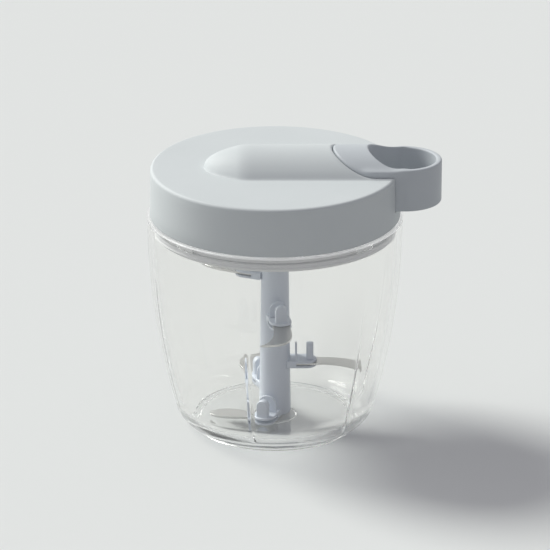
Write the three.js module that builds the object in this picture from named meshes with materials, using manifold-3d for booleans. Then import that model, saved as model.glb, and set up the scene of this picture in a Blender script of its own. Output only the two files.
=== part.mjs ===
// Hand food chopper worked by a pull cord, in millimetres, +Z up.
// The origin is on the bowl's axis at the table. The handle pulls out along +X.
import * as THREE from "three";
import { mergeVertices } from "three/addons/utils/BufferGeometryUtils.js";
import Module from "manifold-3d";

const wasm = await Module();
wasm.setup();

// Clearances
const gap = 0.3; // between pieces that touch
const runningGap = 0.3; // between a shaft and its bearing
const overrun = 4; // how far a cutter runs past what it cuts

// Driving dimensions of the whole
const rimHeight = 94.4; // top of the bowl
const rimRadius = 54.0; // outside of the bowl at its top
const rimLedge = 1.5; // how far the bowl's rim stands out past the lid
const lidHeight = 20.7; // skirt of the lid, bottom to top face

// Bowl
const bowl = {
  wall: 2.6,
  lowRadius: 42.5, // outside, where the side turns in to the foot
  lowHeight: 9,
  swell: 2.1, // power of the curve of the side
  cornerRadius: 11,
  footInset: 7.5, // outside of the foot ring, in from lowRadius
  footWidth: 3,
  footDepth: 1.3, // recess between the foot ring and the centre boss
  bossRadius: 9,
  floorTop: 4.5,
  floorFillet: 9,
  ribs: 6,
  ribAzimuth: -103.5, // degrees, the first rib
  ribWidth: 1.8,
  ribDepth: 1.2,
  ribTop: 71,
  ribFade: 7, // length over which a rib dies away at its top
  ribFoot: 60, // degrees of the floor's round that a rib follows
  sideSteps: 6,
  cornerSteps: 4,
  turns: 52, // facets round
};
const pin = { radius: 2.6, height: 17, seat: 2.2, tipChamfer: 0.8 };

// Spindle and blades
const spindle = {
  topRadius: 5.6,
  bottomRadius: 6.8,
  hexFlats: 8,
  hexLength: 4.7,
  headroom: 5.2, // bore above the pin
};
const bush = { wall: 1.0 };
const arm = {
  length: 17.9, // from the axis
  width: 9.4,
  height: 3.2,
  pegAt: 14.9, // from the axis
  pegThickness: 3,
  pegWidth: 5,
  pegHeight: 7.2,
  finAt: 9,
  finThickness: 0.8,
  finWidth: 8,
  finHeight: 7,
};
const blade = { thickness: 1.0, clearance: 0.5, rootStart: 9.2, rootWidth: 7.2 };
// Each blade's share of the height from the lowest arm to the shaft's top, the way its arm
// points in degrees, its share of the full reach and its outline
const bladePlaces = [
  { heightShare: 0.742, azimuth: 158, reachShare: 1, outline: "hook" },
  { heightShare: 0.531, azimuth: -80, reachShare: 1, outline: "hook" },
  { heightShare: 0.258, azimuth: 0.5, reachShare: 1, outline: "hook" },
  { heightShare: 0.107, azimuth: 118, reachShare: 1, outline: "hook" },
  { heightShare: 0, azimuth: -110, reachShare: 0.8, outline: "sweep" },
];
// The length of a blade's straight root, and the control points of its two curves as shares of
// its reach
const bladeOutlines = {
  hook: {
    rootLength: 5.1,
    backStartShares: [0.654, 0.073],
    backEndShares: [1.06, 0.105],
    tipShares: [0.941, -0.337],
    bellyStartShares: [0.885, -0.209],
    bellyEndShares: [0.707, -0.102],
  },
  sweep: {
    rootLength: 1.9,
    backStartShares: [0.491, -0.131],
    backEndShares: [0.785, -0.818],
    tipShares: [0.458, -0.779],
    bellyStartShares: [0.278, -0.736],
    bellyEndShares: [0.196, -0.393],
  },
};

// Lid housing
const housing = {
  wall: 2.2,
  draft: 0.4, // how much wider the skirt is at its bottom
  edgeRadius: 1.4,
  spineRadius: 21, // of the raised arch
  spineRise: 8.8, // crown above the lid's top face
  noseReach: 29.7, // tip of the spine's round end from the axis
  noseLength: 24.7, // over which the spine narrows to its tip
  turns: 56,
  spineSteps: 12, // facets across the spine
  noseSteps: 8,
};
const lugs = { count: 4, azimuth: 45, width: 8, rise: 1.6, height: 2.2 };

// Handle with its finger ring, and the dock that it lies in
const handle = {
  halfWidth: 15.8,
  neck: 14.85, // from its inner end to the finger hole
  holeLength: 28.6,
  tipLength: 17.65, // of its rounded inner end
  ringWall: 2.35,
  depth: 14.4, // underside, below the lid's top
  rimRise: 3.85, // flat rim of the finger hole, above the lid's top
  plateThickness: 1.2,
  plateLength: 8,
  plateWidth: 8,
  cavityWall: 3.4,
  cavityHeight: 8,
  plateShelf: 0.95, // ledge round the cavity that carries the plate
  clearance: 0.35, // to the dock
};

// Lid base, its seal and its screws
const base = {
  clearance: 1.4, // to the inside of the bowl
  depth: 6.8, // below the rim
  floor: 2.2,
  wallTop: 2.6, // above the rim, inside the skirt
  wall: 3.8,
  padHeight: 2.5,
  padRadius: 5,
};
const seal = { bite: 1.4, height: 2.4, lip: 0.5, above: 1.2 };
const lidScrew = { azimuth: 50, headRadius: 3, headHeight: 2, shankRadius: 1.4, length: 12 };
const screwBoss = { radius: 4.2, clearance: 1 }; // clearance to the wall of the base
const post = { radius: 4, spigotRadius: 3.2, spigotLength: 3.7 };

// Drive: cord drum, recoil spring, coupler
const cord = {
  radius: 0.7,
  windRadius: 14.5,
  pitch: 1.85,
  turns: 4,
  sides: 6,
  steps: 22, // a turn
  leaves: -38, // degrees, where the cord leaves the drum
  bend: 3, // length of the bend towards the handle
};
const drum = { rim: 4, flange: 1.1, margin: 0.9, caseWall: 1.5, coverThickness: 0.8, clearance: 3.3 };
const spring = { height: 3.5, thickness: 0.5, turns: 6, inside: 4.7, steps: 20, hook: 1.6 };
const coupler = { wall: 2.8, flatDepth: 0.2, collar: 2.2, collarHeight: 1.2 };
const couplerScrew = { headRadius: 2.4, headHeight: 1.8, shankRadius: 1.3, bite: 5 };
const baseBush = { wall: 1.2, flange: 1.8, flangeHeight: 1 };
const guide = { clearance: 0.45, wall: 0.85, flange: 1.2, flangeHeight: 0.8 };
const knot = { radius: 2.1 };

// Radii and places worked out from the above
const lidRadius = rimRadius - rimLedge;
const bowlInside = rimRadius - bowl.wall;
const footRadius = bowl.lowRadius - bowl.footInset;
const baseRadius = bowlInside - base.clearance;
const baseInside = baseRadius - base.wall;
const skirtInside = baseRadius + gap;
const bladeReach = bowl.lowRadius - bowl.wall - bowl.ribDepth - blade.clearance;
const boreRadius = pin.radius + runningGap + bush.wall + gap;
const screwSpread = baseInside - screwBoss.radius - screwBoss.clearance;
const coreRadius = cord.windRadius - cord.radius - gap;
const drumRadius = cord.windRadius + drum.rim;
const handleTip = drumRadius + drum.clearance + housing.wall + handle.clearance;
const holeHalfWidth = handle.halfWidth - handle.ringWall;
const holeCentre = handleTip + handle.neck + holeHalfWidth;
const ringCentre = handleTip + handle.neck + handle.holeLength - holeHalfWidth;
const ringReach = ringCentre + handle.halfWidth;
const tipCentre = handleTip + handle.tipLength;
const caseInside = drumRadius - drum.caseWall;
const springOutside = caseInside - 2 * gap;
const spoolBore = post.spigotRadius + runningGap;
const couplerRadius = spindle.hexFlats / Math.sqrt(3) + coupler.wall;
const couplerFlats = 2 * (couplerRadius - coupler.flatDepth);
const guideBore = cord.radius + guide.clearance;

// Heights worked out from the above
const skirtBottom = rimHeight + gap;
const lidTop = skirtBottom + lidHeight;
const spineTop = lidTop + housing.spineRise;
const ceiling = lidTop - housing.wall;
const spineAxis = spineTop - housing.spineRadius;
const baseBottom = rimHeight - base.depth;
const baseFloorTop = baseBottom + base.floor;
const handleBottom = lidTop - handle.depth;
const rimTop = lidTop + handle.rimRise;
const dockFloor = handleBottom - handle.clearance;
const dockLedge = dockFloor - housing.wall;
const pinBottom = bowl.floorTop - pin.seat + gap;
const pinTop = pinBottom + pin.height;
const boreTop = pinTop + spindle.headroom;
const lowestArm = bowl.floorTop + gap + arm.height / 2;
const shoulder = baseBottom + gap;
const coverTop = ceiling - gap;
const caseTop = coverTop - drum.coverThickness - gap;
const springBottom = caseTop - gap - spring.height;
const caseFloor = springBottom - gap;
const spigotBottom = caseFloor - post.spigotLength;
const drumTop = caseFloor - drum.flange;
const cordHeight = drumTop - drum.margin;
const woundHeight = cord.pitch * cord.turns;
const drumBottom = cordHeight - woundHeight - drum.margin;
const spoolBottom = drumBottom - drum.flange;
const hexTop = shoulder + spindle.hexLength;
const screwHeadBottom = hexTop + gap;
const screwHeadTop = screwHeadBottom + couplerScrew.headHeight;
const screwTop = spigotBottom + couplerScrew.bite;
const socketTop = screwHeadTop + gap;
const couplerTop = spigotBottom - 2 * gap;
const couplerBottom = shoulder + gap;
const bushTop = baseFloorTop + gap + baseBush.flangeHeight;

const degrees = Math.PI / 180;

const looks = {
  shell: { color: 0xc3c8ca, roughness: 0.45, metalness: 0 },
  grip: { color: 0xbfc4c7, roughness: 0.45, metalness: 0 },
  clear: { color: 0xeef3f3, roughness: 0.05, metalness: 0, transparent: true, opacity: 0.3 },
  shaft: { color: 0x9aa0a4, roughness: 0.5, metalness: 0 },
  steel: { color: 0xc8cacc, roughness: 0.25, metalness: 1 },
  rubber: { color: 0xb4babc, roughness: 0.8, metalness: 0 },
  works: { color: 0xe6e6e0, roughness: 0.6, metalness: 0 },
  cord: { color: 0xf2f2ee, roughness: 0.9, metalness: 0 },
};

const product = new THREE.Group();

// Geometry in and out of solids

function toSolid(geometry) {
  const bare = geometry.clone();
  bare.deleteAttribute("normal");
  bare.deleteAttribute("uv");
  const merged = mergeVertices(bare);
  const vertProperties = new Float32Array(merged.attributes.position.array);
  const triVerts = new Uint32Array(merged.index.array);
  return new wasm.Manifold(new wasm.Mesh({ numProp: 3, vertProperties, triVerts }));
}

function toGeometry(solid) {
  const result = solid.getMesh();
  const geometry = new THREE.BufferGeometry();
  geometry.setAttribute("position", new THREE.BufferAttribute(result.vertProperties, 3));
  geometry.setIndex(new THREE.BufferAttribute(result.triVerts, 1));
  geometry.computeVertexNormals();
  return geometry;
}

function place(name, solid, look) {
  const material = new THREE.MeshStandardMaterial(looks[look]);
  const mesh = new THREE.Mesh(toGeometry(solid), material);
  mesh.name = name;
  product.add(mesh);
}

function joined(solids) {
  return solids.reduce((whole, solid) => whole.add(solid));
}

// A closed outline of [radius, height] points, turned round Z
function turned(points, facets, start = 0) {
  const outline = points.map(([radius, height]) => new THREE.Vector2(radius, height));
  outline.push(outline[0].clone());
  const geometry = new THREE.LatheGeometry(outline, facets, start);
  geometry.rotateX(Math.PI / 2);
  const solid = toSolid(geometry);
  return solid.volume() < 0 ? toSolid(flipped(geometry)) : solid;
}

function flipped(geometry) {
  const copy = geometry.clone();
  const index = copy.index.array;
  for (let i = 0; i < index.length; i += 3) {
    [index[i], index[i + 1]] = [index[i + 1], index[i]];
  }
  return copy;
}

function cylinder(radius, bottom, top, facets = 24) {
  const geometry = new THREE.CylinderGeometry(radius, radius, top - bottom, facets);
  geometry.rotateX(Math.PI / 2);
  geometry.translate(0, 0, (top + bottom) / 2);
  return toSolid(geometry);
}

function tubular(outside, inside, bottom, top, facets = 24) {
  return cylinder(outside, bottom, top, facets)
    .subtract(cylinder(inside, bottom - overrun, top + overrun, facets));
}

// A hexagonal prism, with a flat facing +X
function hexagon(flats, bottom, top) {
  return cylinder(flats / Math.sqrt(3), bottom, top, 6);
}

function block(low, high) {
  const size = high.map((value, axis) => value - low[axis]);
  const geometry = new THREE.BoxGeometry(...size);
  geometry.translate(...low.map((value, axis) => value + size[axis] / 2));
  return toSolid(geometry);
}

function prism(shape, bottom, top, curveSegments = 12) {
  const geometry = new THREE.ExtrudeGeometry(shape, {
    depth: top - bottom,
    bevelEnabled: false,
    curveSegments,
  });
  geometry.translate(0, 0, bottom);
  return toSolid(geometry);
}

function around(solid, azimuth) {
  return solid.rotate([0, 0, azimuth]);
}

// Outline of the handle seen from above, grown by a clearance: an elliptical inner end,
// straight sides and a round outer end centred at outerCentre
function handleOutline(grow, outerCentre) {
  const shape = new THREE.Shape();
  const half = handle.halfWidth + grow;
  shape.absellipse(tipCentre, 0, handle.tipLength + grow, half, Math.PI / 2, 1.5 * Math.PI, false, 0);
  shape.lineTo(outerCentre, -half);
  shape.absarc(outerCentre, 0, half, -Math.PI / 2, Math.PI / 2, false);
  shape.closePath();
  return shape;
}

// The bowl

function bowlSide(inset) {
  const points = [];
  const drop = rimRadius - bowl.lowRadius;
  for (let i = 0; i <= bowl.sideSteps; i += 1) {
    const share = (bowl.sideSteps - i) / bowl.sideSteps;
    const height = bowl.lowHeight + (rimHeight - bowl.lowHeight) * share;
    points.push([bowlRadius(height, drop) - inset, height]);
  }
  return points;
}

function bowlRadius(height, drop = rimRadius - bowl.lowRadius) {
  const share = (rimHeight - height) / (rimHeight - bowl.lowHeight);
  return rimRadius - drop * Math.max(share, 0) ** bowl.swell;
}

function bowlCorner() {
  const slope = Math.atan(((rimRadius - bowl.lowRadius) * bowl.swell) / (rimHeight - bowl.lowHeight));
  const centre = [
    bowl.lowRadius - bowl.cornerRadius * Math.cos(slope),
    bowl.lowHeight + bowl.cornerRadius * Math.sin(slope),
  ];
  const last = Math.acos((footRadius - centre[0]) / bowl.cornerRadius);
  const points = [];
  for (let i = 1; i <= bowl.cornerSteps; i += 1) {
    const angle = slope + ((last - slope) * i) / bowl.cornerSteps;
    points.push([
      centre[0] + bowl.cornerRadius * Math.cos(angle),
      centre[1] - bowl.cornerRadius * Math.sin(angle),
    ]);
  }
  return points;
}

// Centre of the round between the side and the floor, inside
function filletCentre() {
  const height = bowl.floorTop + bowl.floorFillet;
  return [bowlRadius(height) - bowl.wall - bowl.floorFillet, height];
}

function filletPoint(angle, grow = 0) {
  const [radius, height] = filletCentre();
  const size = bowl.floorFillet + grow;
  return [radius + size * Math.cos(angle), height - size * Math.sin(angle)];
}

function bowlInsideOutline() {
  const points = bowlSide(bowl.wall).filter(([, height]) => height > bowl.floorTop + bowl.floorFillet);
  for (let i = 0; i <= bowl.cornerSteps; i += 1) {
    points.push(filletPoint((Math.PI / 2) * (i / bowl.cornerSteps)));
  }
  return points;
}

// Half of the rib's outline, a set distance inside or outside the bowl's inner face
function ribEdge(grow, top) {
  const points = [];
  for (let i = bowl.cornerSteps; i >= 0; i -= 1) {
    points.push(filletPoint((bowl.ribFoot * degrees * i) / bowl.cornerSteps, grow));
  }
  const low = bowl.floorTop + bowl.floorFillet;
  for (let i = 1; i <= bowl.sideSteps; i += 1) {
    const height = low + ((top - low) * i) / bowl.sideSteps;
    points.push([bowlRadius(height) - bowl.wall + grow, height]);
  }
  return points;
}

function bowlRib() {
  const face = ribEdge(-bowl.ribDepth, bowl.ribTop - bowl.ribFade);
  const buried = ribEdge(bowl.wall / 2, bowl.ribTop);
  const points = [...face, ...buried.reverse()].map(([x, y]) => new THREE.Vector2(x, y));
  const geometry = new THREE.ExtrudeGeometry(new THREE.Shape(points), {
    depth: bowl.ribWidth,
    bevelEnabled: false,
  });
  geometry.translate(0, 0, -bowl.ribWidth / 2);
  geometry.rotateX(Math.PI / 2);
  return toSolid(geometry);
}

function makeBowl() {
  const outline = [
    ...bowlSide(0),
    ...bowlCorner(),
    [footRadius, 0],
    [footRadius - bowl.footWidth, 0],
    [footRadius - bowl.footWidth, bowl.footDepth],
    [bowl.bossRadius, bowl.footDepth],
    [bowl.bossRadius, 0],
    [0, 0],
    [0, bowl.floorTop],
    ...bowlInsideOutline().reverse(),
  ];
  let solid = turned(outline, bowl.turns);
  const rib = bowlRib();
  for (let i = 0; i < bowl.ribs; i += 1) {
    solid = solid.add(around(rib, bowl.ribAzimuth + (360 / bowl.ribs) * i));
  }
  const notchTop = rimHeight + overrun;
  const notchBottom = rimHeight - gap - lugs.height - gap;
  const notchHalf = lugs.width / 2 + gap;
  const lugReach = baseRadius + lugs.rise + gap;
  const notch = block([baseRadius - overrun, -notchHalf, notchBottom], [lugReach, notchHalf, notchTop]);
  for (let i = 0; i < lugs.count; i += 1) {
    solid = solid.subtract(around(notch, lugs.azimuth + (360 / lugs.count) * i));
  }
  const seat = cylinder(pin.radius + gap, bowl.floorTop - pin.seat, rimHeight);
  place("bowl", solid.subtract(seat), "clear");
}

function makePin() {
  const outline = [
    [0, pinBottom],
    [pin.radius, pinBottom],
    [pin.radius, pinTop - pin.tipChamfer],
    [pin.radius - pin.tipChamfer, pinTop],
    [0, pinTop],
  ];
  place("centre_pin", turned(outline, 16), "steel");
}

// The spindle and its blades

function spindleShaft() {
  const bottom = bowl.floorTop + gap;
  const outline = [
    [0, bottom],
    [spindle.bottomRadius, bottom],
    [spindle.topRadius, shoulder],
    [0, shoulder],
  ];
  return turned(outline, 24).add(hexagon(spindle.hexFlats, shoulder - overrun, hexTop));
}

// An arm along +X with its peg and fin, centred on height zero
function bladeArm() {
  const half = arm.width / 2;
  const shape = new THREE.Shape();
  const start = (boreRadius + spindle.topRadius) / 2;
  shape.moveTo(start, -half);
  shape.lineTo(arm.length - half, -half);
  shape.absarc(arm.length - half, 0, half, -Math.PI / 2, Math.PI / 2, false);
  shape.lineTo(start, half);
  shape.closePath();
  const top = arm.height / 2;
  const plate = prism(shape, -top, top, 6);
  return joined([plate, peg(arm.pegAt, arm.pegThickness, arm.pegWidth, top, arm.pegHeight),
    peg(arm.finAt, arm.finThickness, arm.finWidth, top, arm.finHeight)]);
}

// An upright tongue across the arm, with a round head
function peg(at, thickness, width, bottom, height) {
  const half = width / 2;
  const shape = new THREE.Shape();
  shape.moveTo(-half, bottom - arm.height / 4);
  shape.lineTo(half, bottom - arm.height / 4);
  shape.lineTo(half, bottom + height - half);
  shape.absarc(0, bottom + height - half, half, 0, Math.PI, false);
  shape.closePath();
  const geometry = new THREE.ExtrudeGeometry(shape, {
    depth: thickness,
    bevelEnabled: false,
    curveSegments: 6,
  });
  geometry.rotateX(Math.PI / 2);
  geometry.rotateZ(Math.PI / 2);
  geometry.translate(at - thickness / 2, 0, 0);
  return toSolid(geometry);
}

// A blade that leaves its arm and hooks back clockwise, seen from above
function bladeShape(reachShare, outline) {
  const reach = bladeReach * reachShare;
  const curve = bladeOutlines[outline];
  const rootEnd = blade.rootStart + curve.rootLength;
  const half = blade.rootWidth / 2;
  const shape = new THREE.Shape();
  shape.moveTo(blade.rootStart, -half);
  shape.lineTo(blade.rootStart, half);
  shape.lineTo(rootEnd, half);
  shape.bezierCurveTo(
    reach * curve.backStartShares[0], reach * curve.backStartShares[1],
    reach * curve.backEndShares[0], reach * curve.backEndShares[1],
    reach * curve.tipShares[0], reach * curve.tipShares[1],
  );
  shape.bezierCurveTo(
    reach * curve.bellyStartShares[0], reach * curve.bellyStartShares[1],
    reach * curve.bellyEndShares[0], reach * curve.bellyEndShares[1],
    rootEnd, -half,
  );
  shape.closePath();
  return shape;
}

function bladeSolid(reachShare, outline) {
  const half = blade.thickness / 2;
  return prism(bladeShape(reachShare, outline), -half, half, 8);
}

function bladeSlot(reachShare) {
  const half = blade.thickness / 2 + gap;
  const low = [blade.rootStart - gap, -arm.width, -half];
  const high = [bladeReach * reachShare, arm.width, half];
  return block(low, high);
}

function makeSpindle() {
  let solid = spindleShaft();
  const bore = cylinder(boreRadius, -overrun, boreTop, 20);
  bladePlaces.forEach(({ heightShare, azimuth, reachShare, outline }, index) => {
    const height = lowestArm + (shoulder - lowestArm) * heightShare;
    const slotted = bladeArm().subtract(bladeSlot(reachShare));
    solid = solid.add(around(slotted, azimuth).translate([0, 0, height]));
    const steel = around(bladeSolid(reachShare, outline), azimuth).translate([0, 0, height]);
    place(`blade_${index + 1}`, steel, "steel");
  });
  place("spindle", solid.subtract(bore), "shaft");
}

function makeSpindleBush() {
  const inside = pin.radius + runningGap;
  const bottom = bowl.floorTop + 2 * gap;
  const top = pinTop - pin.tipChamfer;
  place("spindle_bush", tubular(inside + bush.wall, inside, bottom, top, 20), "works");
}

// The lid's housing

// Points across the spine at one place along it, shrunk towards its foot
function spineSection(inset, x, scale) {
  const radius = housing.spineRadius - inset;
  const foot = lidTop - inset;
  const widest = Math.acos((foot - spineAxis) / radius);
  const points = [];
  for (let i = 0; i <= housing.spineSteps; i += 1) {
    const angle = widest * ((2 * i) / housing.spineSteps - 1);
    const rise = spineAxis + radius * Math.cos(angle) - foot;
    const y = radius * Math.sin(angle) * scale;
    points.push([x, y, foot + rise * scale], [x, y, foot - overrun]);
  }
  return points;
}

// The straight arch of the spine between two places
function spineArch(start, end) {
  return wasm.Manifold.hull([...spineSection(0, start, 1), ...spineSection(0, end, 1)]);
}

function spineSolid(inset) {
  const start = housing.noseLength - housing.noseReach;
  const points = spineSection(inset, lidRadius + overrun, 1);
  for (let i = 0; i <= housing.noseSteps; i += 1) {
    const angle = (Math.PI / 2) * (i / housing.noseSteps);
    const x = start - (housing.noseLength - inset) * Math.sin(angle);
    points.push(...spineSection(inset, x, Math.cos(angle)));
  }
  return wasm.Manifold.hull(points);
}

function housingOutside() {
  const bottomRadius = lidRadius + housing.draft;
  const edge = housing.edgeRadius;
  const outline = [[0, skirtBottom], [bottomRadius, skirtBottom], [lidRadius, lidTop - edge]];
  for (let i = 1; i <= 3; i += 1) {
    const angle = (Math.PI / 2) * (i / 3);
    outline.push([lidRadius - edge + edge * Math.cos(angle), lidTop - edge + edge * Math.sin(angle)]);
  }
  outline.push([0, lidTop]);
  const disc = turned(outline, housing.turns);
  const within = cylinder(lidRadius, skirtBottom, spineTop + overrun, housing.turns);
  const aboveDeck = block(
    [-lidRadius, -lidRadius, lidTop - housing.wall],
    [lidRadius + overrun, lidRadius, spineTop + overrun],
  );
  return disc.add(spineSolid(0).intersect(within).intersect(aboveDeck));
}

function dockVolume(grow, bottom) {
  const outline = handleOutline(grow, ringCentre + lidRadius);
  return prism(outline, bottom, spineTop + overrun, 10);
}

function screwPlaces() {
  return [1, 3, 5, 7].map((odd) => {
    const side = odd === 1 || odd === 7 ? 1 : -1;
    const face = odd < 4 ? 1 : -1;
    const angle = lidScrew.azimuth * degrees;
    return [side * screwSpread * Math.cos(angle), face * screwSpread * Math.sin(angle)];
  });
}

function makeHousing() {
  const outer = housingOutside();
  const wellBottom = skirtBottom - overrun;
  const deckWell = cylinder(skirtInside, wellBottom, ceiling, housing.turns);
  const spineWell = spineSolid(housing.wall)
    .intersect(cylinder(skirtInside, wellBottom, spineTop, housing.turns));
  const padTop = baseFloorTop + base.padHeight + gap;
  let solid = outer.subtract(deckWell).subtract(spineWell);
  const dockBlock = dockVolume(handle.clearance + housing.wall, dockLedge).intersect(outer);
  solid = solid.add(dockBlock);
  const bossRoot = ceiling + housing.wall / 2;
  screwPlaces().forEach(([x, y]) => {
    solid = solid.add(cylinder(screwBoss.radius, padTop, bossRoot, 16).translate([x, y, 0]));
    const hole = cylinder(lidScrew.shankRadius + gap, padTop - overrun, padTop + lidScrew.length, 12);
    solid = solid.subtract(hole.translate([x, y, 0]));
  });
  solid = solid.add(housingPost());
  solid = solid.subtract(dockVolume(handle.clearance, dockFloor));
  place("lid_housing", solid.subtract(guideHole()), "shell");
}

// The post that the spool turns on, slotted for the spring's inner hook
function housingPost() {
  const root = spineTop - housing.wall / 2;
  const slotHalf = spring.thickness / 2 + gap;
  const slot = block([-post.radius - overrun, -slotHalf, caseFloor], [0, slotHalf, caseTop]);
  const screwHole = cylinder(couplerScrew.shankRadius + gap, spigotBottom - overrun, screwTop + gap, 12);
  return cylinder(post.radius, caseFloor + gap, root)
    .add(cylinder(post.spigotRadius, spigotBottom, root))
    .subtract(slot)
    .subtract(screwHole);
}

function alongX(solid) {
  return solid.rotate([0, 90, 0]);
}

function guideHole() {
  const radius = guideBore + guide.wall + gap;
  const length = handleTip - handle.clearance;
  return alongX(cylinder(radius, length - housing.wall - overrun, length + overrun, 16))
    .translate([0, 0, cordHeight]);
}

function makeGuide() {
  const outside = guideBore + guide.wall;
  const dockWall = handleTip - handle.clearance;
  const inner = dockWall - housing.wall;
  const barrel = cylinder(outside, inner - gap - guide.flangeHeight, dockWall, 16);
  const flange = cylinder(outside + guide.flange, inner - gap - guide.flangeHeight, inner - gap, 16);
  const bore = cylinder(guideBore, inner - overrun, dockWall + overrun, 12);
  const solid = alongX(barrel.add(flange).subtract(bore)).translate([0, 0, cordHeight]);
  place("cord_guide", solid, "steel");
}

// The lid's base

function makeBase() {
  const top = rimHeight + base.wallTop;
  const sealMiddle = baseBottom + seal.above + seal.height / 2;
  const groove = seal.height / 2 + gap;
  const grooveInside = baseRadius - seal.bite;
  const outline = [
    [0, baseBottom],
    [baseRadius, baseBottom],
    [baseRadius, sealMiddle - groove],
    [grooveInside, sealMiddle - groove],
    [grooveInside, sealMiddle + groove],
    [baseRadius, sealMiddle + groove],
    [baseRadius, top],
    [baseInside, top],
    [baseInside, baseFloorTop],
    [0, baseFloorTop],
  ];
  let solid = turned(outline, housing.turns);
  const lugTop = rimHeight - gap;
  const lug = block(
    [baseInside + gap, -lugs.width / 2, lugTop - lugs.height],
    [baseRadius + lugs.rise, lugs.width / 2, lugTop],
  );
  for (let i = 0; i < lugs.count; i += 1) {
    solid = solid.add(around(lug, lugs.azimuth + (360 / lugs.count) * i));
  }
  const padTop = baseFloorTop + base.padHeight;
  const recess = baseBottom + lidScrew.headHeight + 2 * gap;
  screwPlaces().forEach(([x, y]) => {
    const hole = cylinder(lidScrew.shankRadius + gap, baseBottom - overrun, padTop + overrun, 12);
    const well = cylinder(lidScrew.headRadius + gap, baseBottom - overrun, recess, 16);
    solid = solid.add(cylinder(base.padRadius, baseBottom + gap, padTop, 16).translate([x, y, 0]));
    solid = solid.subtract(hole.add(well).translate([x, y, 0]));
  });
  const opening = couplerRadius + runningGap + baseBush.wall + gap;
  place("lid_base", solid.subtract(cylinder(opening, baseBottom - overrun, rimHeight)), "shell");
}

function makeSeal() {
  const low = baseBottom + seal.above;
  const high = low + seal.height;
  const inside = baseRadius - seal.bite + gap;
  const outside = bowlInside - gap;
  const third = seal.height / 3;
  const outline = [
    [inside, low],
    [outside - seal.lip, low],
    [outside, low + third / 2],
    [outside - seal.lip, low + third],
    [outside - seal.lip, high - third],
    [outside, high - third / 2],
    [outside - seal.lip, high],
    [inside, high],
  ];
  place("seal_ring", turned(outline, 36), "rubber");
}

function makeLidScrews() {
  screwPlaces().forEach(([x, y], index) => {
    const bottom = baseBottom + gap;
    const headTop = bottom + lidScrew.headHeight;
    const head = cylinder(lidScrew.headRadius, bottom, headTop, 12);
    const shank = cylinder(lidScrew.shankRadius, headTop - gap, headTop + lidScrew.length, 10);
    place(`lid_screw_${index + 1}`, head.add(shank).translate([x, y, 0]), "steel");
  });
}

function makeBaseBush() {
  const inside = couplerRadius + runningGap;
  const outside = inside + baseBush.wall;
  const barrel = tubular(outside, inside, baseBottom + gap, bushTop);
  const flange = tubular(outside + baseBush.flange, inside, baseFloorTop + gap, bushTop);
  place("base_bush", barrel.add(flange), "works");
}

// The drive

function makeSpool() {
  const outline = [
    [spoolBore, spoolBottom],
    [drumRadius, spoolBottom],
    [drumRadius, drumBottom],
    [coreRadius, drumBottom],
    [coreRadius, drumTop],
    [drumRadius, drumTop],
    [drumRadius, caseTop],
    [caseInside, caseTop],
    [caseInside, caseFloor],
    [spoolBore, caseFloor],
  ];
  const shell = turned(outline, 40);
  const anchorHeight = drumBottom + drum.margin + cord.radius + gap;
  const anchor = block(
    [coreRadius - 2 * cord.radius, -cordEnd() - 4 * cord.radius, spoolBottom + gap],
    [cord.windRadius + 2 * cord.radius, -cordEnd(), anchorHeight],
  );
  const notch = block(
    [-springOutside - spring.hook - gap, -spring.thickness / 2 - gap, caseFloor],
    [0, spring.thickness / 2 + gap, caseTop + overrun],
  );
  const recess = hexagon(couplerFlats + 2 * gap, spoolBottom - overrun, couplerTop + gap);
  place("spool", shell.add(around(anchor, cord.leaves)).subtract(notch).subtract(recess), "works");
}

// How far the wound cord's inner end runs on past the line through the axis
function cordEnd() {
  return 2 * cord.radius + gap;
}

function makeSpringCover() {
  const solid = tubular(drumRadius, post.radius + 2 * gap, caseTop + gap, coverTop, 32);
  place("spring_cover", solid, "works");
}

// A flat strip wound in a spiral, hooked to the post inside and to the spool's case outside
function makeSpring() {
  const steps = spring.turns * spring.steps;
  const half = spring.thickness / 2;
  const slope = (springOutside - spring.inside) / steps;
  const edges = { inner: [], outer: [] };
  for (let i = 0; i <= steps; i += 1) {
    const angle = (2 * Math.PI * i) / spring.steps + Math.PI;
    const radius = spring.inside + slope * i;
    edges.inner.push([(radius - half) * Math.cos(angle), (radius - half) * Math.sin(angle)]);
    edges.outer.push([(radius + half) * Math.cos(angle), (radius + half) * Math.sin(angle)]);
  }
  const points = [...edges.outer, ...edges.inner.reverse()];
  const strip = new THREE.Shape(points.map(([x, y]) => new THREE.Vector2(x, y)));
  const low = springBottom;
  const high = springBottom + spring.height;
  const band = prism(strip, low, high);
  const innerHook = block([-spring.inside, -half, low], [-spring.inside + spring.hook + gap, half, high]);
  const start = springOutside - half;
  const outerHook = block([-start - spring.hook, -half, low], [-start, half, high]);
  leastSpringGap(slope);
  place("recoil_spring", joined([band, innerHook, outerHook]), "steel");
}

function leastSpringGap(slope) {
  const between = slope * spring.steps - spring.thickness;
  console.log("least gap between the spring's turns", between.toFixed(2));
}

// The cord's centre line on the drum: a helix that ends in a straight run to its anchor
function windingCurve() {
  const points = [];
  const steps = cord.turns * cord.steps;
  for (let i = 0; i <= steps; i += 1) {
    const turn = i / cord.steps;
    const angle = cord.leaves * degrees - 2 * Math.PI * turn;
    points.push(new THREE.Vector3(
      cord.windRadius * Math.cos(angle),
      cord.windRadius * Math.sin(angle),
      cordHeight - cord.pitch * turn,
    ));
  }
  return points;
}

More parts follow.
